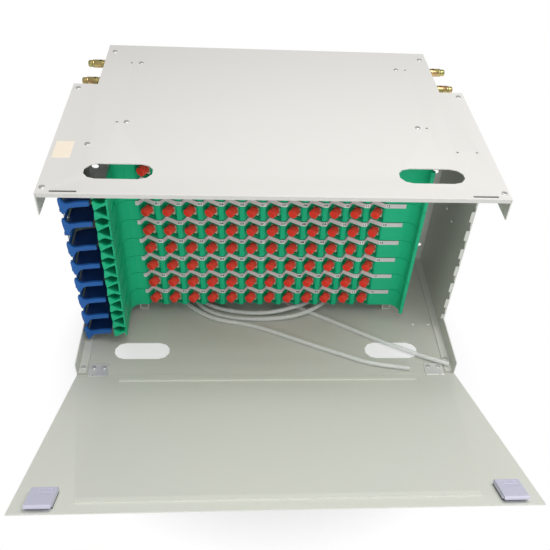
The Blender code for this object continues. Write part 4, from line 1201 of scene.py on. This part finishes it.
def screw_mesh(radius, height):
    """A pan-head screw with a cross recess."""
    profile = [(radius, -SCREW_SUNK)]
    profile += [(radius * share, height * part) for share, part in SCREW_PROFILE]
    head = placed("head", lathe_mesh("head", profile))
    reach = radius * CROSS_REACH
    narrow = radius * CROSS_HALF
    low = height * CROSS_FLOOR
    cuts = [block((-x, -y, low), (x, y, height * 2)) for x, y in ((reach, narrow), (narrow, reach))]
    return mesh_of(solid("screw", head, [], cuts))


def fit_screws(name, places, radius, height):
    """Put a group of like screws at their places on the chassis."""
    screws = stamp(name, [screw_mesh(radius, height)] * len(places), places)
    shade(screws)
    dress(screws, steel(), "chassis")


def cover_places(top):
    """Where the cover's screws go, each turned a little further than the one before."""
    spots = [(side * x, y) for _, side in SIDES for x, y in COVER_SCREWS_MM]
    spots.append(COVER_ODD_SCREW_MM)
    return [aimed((x * MM, y * MM, top), UP, 0.4 * index) for index, (x, y) in enumerate(spots)]


def rear_places(back):
    """Where the rear panel's screws go."""
    spots = [(x * MM, z * MM) for x in REAR_SCREW_XS_MM for z in REAR_SCREW_ZS_MM]
    return [aimed((x, back, z), REAR, 0.5 * index) for index, (x, z) in enumerate(spots)]


def base_places():
    """Where the screws of the hinges' base leaves and of the base's flanges go."""
    places = []
    for _, side in SIDES:
        for step in (-1, 1):
            place = (side * HINGE_X + step * LEAF_SCREW_STEP, LEAF_SCREW_Y, LEAF_TOP)
            places.append(aimed(place, UP, 0.3 * step + side))
    for x, y in FLANGE_SCREWS_MM:
        places.append(aimed((x * MM, y * MM, FLANGE_SCREW_Z), UP, 0.4))
    return places


def fit_strike(side, sign, top):
    """The black plate under the cover that a latch catches."""
    middle = sign * LATCH_X
    low = top - STRIKE_DROP
    strike = block(
        (middle - STRIKE_HALF, STRIKE_FRONT, low),
        (middle + STRIKE_HALF, STRIKE_BACK, low + STRIKE_THICKNESS),
    )
    strike.name = f"latch_strike_{side}"
    dress(strike, black_plastic(), "chassis")


def fit_sticker(case, top):
    """The blank sticker on the cover."""
    sticker = block((*STICKER_LOW, top - STICKER_SUNK), (*STICKER_HIGH, top + STICKER_PROUD))
    sticker.name = "blank_sticker"
    round_edges(sticker, STICKER_EDGE, 1)
    dress(sticker, sticker_paper(case), "chassis")


def turned_post(name, start, out):
    """An anchor post with its stud, its bore and a cross hole for a strength member."""
    profile = [(POST_RADIUS * share, height * MM) for share, height in POST_PROFILE]
    post = placed("post", lathe_mesh("post", profile, 32), aimed(start, out))
    cross = start + out * POST_HOLE_AT
    drop = Vector((0, 0, POST_HOLE_HALF))
    hole = rod(cross - drop, cross + drop, POST_HOLE_RADIUS)
    cuts = [hole, axis_rod(start, out, POST_BORE_MM)]
    return solid(name, post, [axis_rod(start, out, POST_STUD_MM)], cuts)


def turned_screw(name, start, out):
    """A clamp screw with a slotted head."""
    profile = [(radius * MM, height * MM) for radius, height in CLAMP_HEAD_MM]
    head = placed("head", lathe_mesh("head", profile, 28), aimed(start, out))
    near, far = sorted(start.x + out.x * end for end in CLAMP_SLOT_ENDS)
    slot = block(
        (near, start.y - CLAMP_SLOT_REACH, start.z - CLAMP_SLOT_HALF),
        (far, start.y + CLAMP_SLOT_REACH, start.z + CLAMP_SLOT_HALF),
    )
    return solid(name, head, [axis_rod(start, out, CLAMP_SHANK_MM)], [slot])


def latch_solid(name, middle):
    """A latch on the flat door: a wedge with a nose, a pocket for its spring and four grip grooves."""
    tip = -LATCH_TIP
    low = LATCH_LOW
    top = LATCH_TOP
    outline = [
        (-LATCH_REAR, low),
        *((-LATCH_REAR - y * MM, top - z * MM) for y, z in LATCH_SLOPE_MM),
        (tip + LATCH_CHAMFER, top),
        (tip, top - LATCH_CHAMFER),
        (tip, top - LATCH_NOSE_THICKNESS),
        (tip + LATCH_NOSE, top - LATCH_NOSE_THICKNESS),
        (tip + LATCH_NOSE, low),
    ]
    body = prism(outline, middle - LATCH_HALF, middle + LATCH_HALF, axis="X")
    pocket = block(
        (middle - POCKET_HALF, POCKET_ENDS[0], low - POCKET_UNDER),
        (middle + POCKET_HALF, POCKET_ENDS[1], top - POCKET_ROOF),
    )
    cuts = [pocket]
    for step in range(GRIPS):
        near = -LATCH_REAR - GRIP_START - GRIP_PITCH * step
        cuts.append(block(
            (middle - GRIP_HALF, near - GRIP_WIDTH, top - GRIP_DEPTH),
            (middle + GRIP_HALF, near, top + GRIP_OVER),
        ))
    return solid(name, body, [], cuts)


# Operators


class PATCHUNIT_OT_finish_case(Operator):
    """Paint the case and the door, and round their edges"""

    bl_idname = "patchunit.finish_case"
    bl_label = "Finish the case"

    def execute(self, context):
        case = context.scene.patch_unit_case
        outside = outside_coat(case)
        wall = inside_coat("powder_coat_wall", case.wall)
        for node in ("top_cover", "rear_panel"):
            repaint(node, outside, case.edge_radius)
        # The base gets the darker copy of the inside coat: painted shade
        repaint("base_plate", inside_coat("powder_coat_base_painted_shade", case.base), case.edge_radius)
        repaint("door_panel", inside_coat("powder_coat_door", case.inside), case.edge_radius)
        for side, _ in SIDES:
            repaint(f"{side}_side_wall", wall, case.edge_radius)
            repaint(f"tray_rail_{side}", wall, case.edge_radius)
            repaint(f"base_leaf_{side}", zinc(), LEAF_EDGE)
            repaint(f"door_leaf_{side}", zinc(), LEAF_EDGE)
            repaint(f"hinge_pin_{side}", steel())
        return {"FINISHED"}


class PATCHUNIT_OT_fit_fasteners(Operator):
    """Put in the screws and the latch strikes, and the blank sticker on the cover"""

    bl_idname = "patchunit.fit_fasteners"
    bl_label = "Fit the fasteners"

    def execute(self, context):
        case = context.scene.patch_unit_case
        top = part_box("top_cover")[1][2]
        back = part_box("rear_panel")[1][1]
        fit_screws("cover_screws", cover_places(top), case.screw_radius, COVER_SCREW_HEIGHT)
        fit_screws("rear_screws", rear_places(back), REAR_SCREW_RADIUS, REAR_SCREW_HEIGHT)
        fit_screws("hinge_screws", base_places(), LEAF_SCREW_RADIUS, LEAF_SCREW_HEIGHT)
        for side, sign in SIDES:
            fit_strike(side, sign, top)
        fit_sticker(case, top)
        return {"FINISHED"}


class PATCHUNIT_OT_turn_posts(Operator):
    """Turn the cable anchor posts and their clamp screws"""

    bl_idname = "patchunit.turn_posts"
    bl_label = "Turn the anchor posts"

    def execute(self, context):
        plate = yellow_zinc()
        for side, sign in SIDES:
            out = Vector((sign, 0, 0))
            for y, row in zip(POST_YS, ("front", "rear")):
                low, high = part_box(f"anchor_post_{side}_{row}")
                start = Vector((sign * POST_ROOT_X, y, (low[2] + high[2]) / 2))
                post = turned_post(f"turned_post_{side}_{row}", start, out)
                shade(post)
                dress(post, plate, "chassis", [f"anchor_post_{side}_{row}"])
                end = start + out * (POST_REACH + CLAMP_GAP)
                screw = turned_screw(f"turned_screw_{side}_{row}", end, out)
                shade(screw)
                dress(screw, plate, "chassis", [f"clamp_screw_{side}_{row}"])
        return {"FINISHED"}


class PATCHUNIT_OT_mould_trays(Operator):
    """Mould the trays with their adapters, dust caps and label strips"""

    bl_idname = "patchunit.mould_trays"
    bl_label = "Mould the trays"

    def execute(self, context):
        tray = context.scene.patch_unit_tray
        strip = label_plastic(tray)
        numbers = [number_mesh(f"{port + 1:02d}") for port in range(PORTS)]
        plates = [plate_mesh()] * PORTS
        caps = [cap_mesh(tray)] * PORTS
        adapters = [adapter_mesh()] * PORTS
        shade_sheets = [shade_sheet_mesh()] * PORTS
        shell = tray_mesh(tray)
        blades = blade_mesh()
        for number in range(1, TRAYS + 1):
            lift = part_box(f"tray_body_{number}")[0][2]
            body = f"tray_{number}"
            place = Matrix.Translation((0.0, 0.0, lift))
            on_label = number_places(lift)

            made = placed(f"tray_shell_{number}", shell, place)
            shade(made, 30.0)
            dress(made, tray_plastic(tray), body, [f"tray_body_{number}"])

            made = stamp(f"dust_caps_{number}", caps, port_places(lift + CAP_HEIGHT, CAP_AHEAD))
            shade(made)
            dress(made, cap_plastic(tray), body, [f"adapter_row_{number}"])

            made = stamp(f"adapters_{number}", adapters, port_places(lift + ADAPTER_HEIGHT, 0.0))
            shade(made)
            dress(made, adapter_plastic(tray), body)

            # Dark sheets behind the ports: painted shade
            made = stamp(f"port_shade_sheets_{number}", shade_sheets, port_places(lift, 0.0))
            dress(made, port_painted_shadow(), body)
            # The prongs' blades get the darker copy of the tray plastic: painted shade
            made = placed(f"prong_blades_{number}", blades, place)
            dress(made, shaded_blade_plastic(tray), body)
            made = stamp(f"number_plates_{number}", plates, on_label)
            dress(made, plate_plastic(), body)
            made = stamp(f"port_numbers_{number}", numbers, on_label)
            dress(made, number_ink(), body)
            repaint(f"label_strip_{number}", strip, LABEL_EDGE)
        return {"FINISHED"}


class PATCHUNIT_OT_mould_guides(Operator):
    """Mould the column of cable guides"""

    bl_idname = "patchunit.mould_guides"
    bl_label = "Mould the cable guides"

    def execute(self, context):
        guide = context.scene.patch_unit_guide
        middle = GUIDE_FRONT + guide.lip / 2
        lip = mesh_of(lip_solid(guide.lip, middle))
        shelf = mesh_of(shelf_solid(middle))
        for number in range(1, GUIDES + 1):
            node = f"cable_guide_{number}"
            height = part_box(node)[0][2] + GUIDE_TAIL_DOWN
            place = Matrix.Translation((0.0, 0.0, height))
            for stem, data, look, replaced in (
                ("guide_lip", lip, guide_plastic(guide), [node]),
                # The shelf takes the darker copy of the guide plastic: painted shade
                ("guide_shelf", shelf, shelf_shade_plastic(guide), ()),
            ):
                made = placed(f"{stem}_{number}", data, place)
                round_edges(made, guide.rounding)
                dress(made, look, "chassis", replaced)
        return {"FINISHED"}


class PATCHUNIT_OT_mould_latches(Operator):
    """Mould the two door latches and finish their guide plates"""

    bl_idname = "patchunit.mould_latches"
    bl_label = "Mould the latches"

    def execute(self, context):
        latch = context.scene.patch_unit_latch
        tilt = Matrix.Translation(HINGE_POINT) @ Matrix.Rotation(-DOOR_TILT, 4, "X")
        for side, sign in SIDES:
            made = latch_solid(f"latch_moulding_{side}", sign * LATCH_X)
            made.data.transform(tilt)
            round_edges(made, latch.rounding)
            dress(made, latch_plastic(latch), f"latch_{side}", [f"latch_bolt_{side}"])
            repaint(f"latch_guide_{side}", black_plastic(), PLATE_EDGE)
        return {"FINISHED"}


class PATCHUNIT_OT_lay_hose(Operator):
    """Lay the loose protective hose on the base"""

    bl_idname = "patchunit.lay_hose"
    bl_label = "Lay the hose"

    def execute(self, context):
        hose = context.scene.patch_unit_hose
        curve = bpy.data.curves.new("loose_hose", "CURVE")
        curve.dimensions = "3D"
        curve.bevel_depth = hose.radius
        curve.bevel_resolution = HOSE_BEVEL_STEPS
        curve.use_fill_caps = True
        points = route_points(HOSE_ROUTE_MM, HOSE_STEPS)
        spline = curve.splines.new("POLY")
        spline.points.add(len(points) - 1)
        for index, point in enumerate(points):
            spline.points[index].co = (*point, 1.0)
        spline.use_smooth = True
        made = placed("loose_hose", curve)
        dress(made, clear_hose(hose), "chassis", ["protective_hose"])
        return {"FINISHED"}


class PATCHUNIT_OT_set_stage(Operator):
    """Set the camera, the floor and the lights"""

    bl_idname = "patchunit.set_stage"
    bl_label = "Set the stage"

    def execute(self, context):
        stage = context.scene.patch_unit_stage
        context.scene.view_settings.view_transform = "Standard"
        self.photo_camera(context.scene)
        self.studio_floor(stage)
        self.studio_world(context.scene, stage)
        self.lamp("key", KEY_PLACE, stage.key_power, KEY_COLOUR)
        self.lamp("fill", FILL_PLACE, stage.key_power * FILL_SHARE, FILL_COLOUR)
        return {"FINISHED"}

    @staticmethod
    def photo_camera(scene):
        """The camera that took the photograph."""
        data = bpy.data.cameras.new("photo_camera")
        data.sensor_width = SENSOR
        data.lens = CAMERA_FOCUS_PX / PHOTO_SIZE * SENSOR
        data.shift_x = -(CAMERA_CENTRE_PX[0] / PHOTO_SIZE - 0.5)
        data.shift_y = CAMERA_CENTRE_PX[1] / PHOTO_SIZE - 0.5
        data.clip_end = CAMERA_REACH
        axes = (Vector(CAMERA_RIGHT), Vector(CAMERA_UP), -Vector(CAMERA_FORWARD))
        turn = Matrix(axes).transposed().to_4x4()
        scene.camera = placed("photo_camera", data, Matrix.Translation(CAMERA_PLACE) @ turn)

    @staticmethod
    def studio_world(scene, stage):
        """An even sky that shows white to the camera."""
        world = bpy.data.worlds.new("studio")
        scene.world = world
        world.use_nodes = True
        nodes = world.node_tree.nodes
        link = world.node_tree.links.new
        sky = nodes["Background"]
        sky.inputs["Color"].default_value = SKY_COLOUR
        sky.inputs["Strength"].default_value = stage.sky
        shown = add_node(nodes, "ShaderNodeBackground", {"Color": WHITE})
        path = nodes.new("ShaderNodeLightPath")
        mix = nodes.new("ShaderNodeMixShader")
        link(path.outputs["Is Camera Ray"], mix.inputs["Fac"])
        link(sky.outputs["Background"], mix.inputs[1])
        link(shown.outputs["Background"], mix.inputs[2])
        link(mix.outputs["Shader"], nodes["World Output"].inputs["Surface"])

    @staticmethod
    def lamp(name, place, power, colour):
        """A square soft lamp aimed at the unit."""
        data = bpy.data.lights.new(name, "AREA")
        data.size = LAMP_SIZE
        data.energy = power
        data.color = colour
        made = placed(name, data)
        aim = Vector(LAMP_TARGET) - Vector(place)
        made.location = place
        made.rotation_euler = aim.to_track_quat("-Z", "Y").to_euler()

    @staticmethod
    def studio_floor(stage):
        """A pale floor that keeps the shadow and shows whiter to the camera away from the unit."""
        made = bpy.data.materials.new("studio_floor")
        made.use_nodes = True
        nodes = made.node_tree.nodes
        link = made.node_tree.links.new
        shader = nodes["Principled BSDF"]
        shader.inputs["Base Color"].default_value = (*stage.floor, 1.0)
        shader.inputs["Roughness"].default_value = FLOOR_ROUGHNESS
        glow = nodes.new("ShaderNodeEmission")
        path = nodes.new("ShaderNodeLightPath")
        place = nodes.new("ShaderNodeNewGeometry")
        reach = add_node(nodes, "ShaderNodeVectorMath", {1: FLOOR_CENTRE}, operation="DISTANCE")
        link(place.outputs["Position"], reach.inputs[0])
        fade = add_node(nodes, "ShaderNodeMapRange", {
            "From Min": FLOOR_FADE[0],
            "From Max": FLOOR_FADE[1],
            "To Min": FLOOR_SHARES[0],
            "To Max": FLOOR_SHARES[1],
        })
        link(reach.outputs["Value"], fade.inputs["Value"])
        share = add_node(nodes, "ShaderNodeMath", operation="MULTIPLY")
        link(path.outputs["Is Camera Ray"], share.inputs[0])
        link(fade.outputs["Result"], share.inputs[1])
        mix = nodes.new("ShaderNodeMixShader")
        link(share.outputs["Value"], mix.inputs["Fac"])
        link(shader.outputs["BSDF"], mix.inputs[1])
        link(glow.outputs["Emission"], mix.inputs[2])
        link(mix.outputs["Shader"], nodes["Material Output"].inputs["Surface"])

        shape = bmesh.new()
        bmesh.ops.create_circle(shape, cap_ends=True, radius=FLOOR_RADIUS, segments=64)
        floor = placed("studio_floor", mesh_from("studio_floor", shape))
        floor.data.materials.append(made)


class PATCHUNIT_PT_panel(Panel):
    """Lists the unit's settings and the steps that dress it"""

    bl_label = "Fibre patch unit"
    bl_idname = "PATCHUNIT_PT_panel"
    bl_space_type = "VIEW_3D"
    bl_region_type = "UI"
    bl_category = "Patch unit"

    def draw(self, context):
        for settings, _ in SETTINGS:
            group = getattr(context.scene, settings)
            section = self.layout.box()
            for name in group.__annotations__:
                section.prop(group, name)
        for operator in OPERATORS:
            self.layout.operator(operator.bl_idname)


SETTINGS = (
    ("patch_unit_case", PatchUnitCase),
    ("patch_unit_tray", PatchUnitTray),
    ("patch_unit_guide", PatchUnitGuide),
    ("patch_unit_latch", PatchUnitLatch),
    ("patch_unit_hose", PatchUnitHose),
    ("patch_unit_stage", PatchUnitStage),
)
OPERATORS = (
    PATCHUNIT_OT_set_stage,
    PATCHUNIT_OT_lay_hose,
    PATCHUNIT_OT_finish_case,
    PATCHUNIT_OT_fit_fasteners,
    PATCHUNIT_OT_turn_posts,
    PATCHUNIT_OT_mould_trays,
    PATCHUNIT_OT_mould_guides,
    PATCHUNIT_OT_mould_latches,
)


def register():
    """Add the settings, the operators and the panel."""
    for name, group in SETTINGS:
        bpy.utils.register_class(group)
        setattr(bpy.types.Scene, name, PointerProperty(type=group))
    for operator in OPERATORS:
        bpy.utils.register_class(operator)
    bpy.utils.register_class(PATCHUNIT_PT_panel)


def unregister():
    """Take them away again."""
    bpy.utils.unregister_class(PATCHUNIT_PT_panel)
    for operator in reversed(OPERATORS):
        bpy.utils.unregister_class(operator)
    for name, group in reversed(SETTINGS):
        delattr(bpy.types.Scene, name)
        bpy.utils.unregister_class(group)


def main():
    """Dress the unit."""
    register()
    bpy.ops.patchunit.set_stage()
    bpy.ops.patchunit.lay_hose()
    bpy.ops.patchunit.finish_case()
    bpy.ops.patchunit.fit_fasteners()
    bpy.ops.patchunit.turn_posts()
    bpy.ops.patchunit.mould_trays()
    bpy.ops.patchunit.mould_guides()
    bpy.ops.patchunit.mould_latches()


if __name__ == "__main__":
    main()
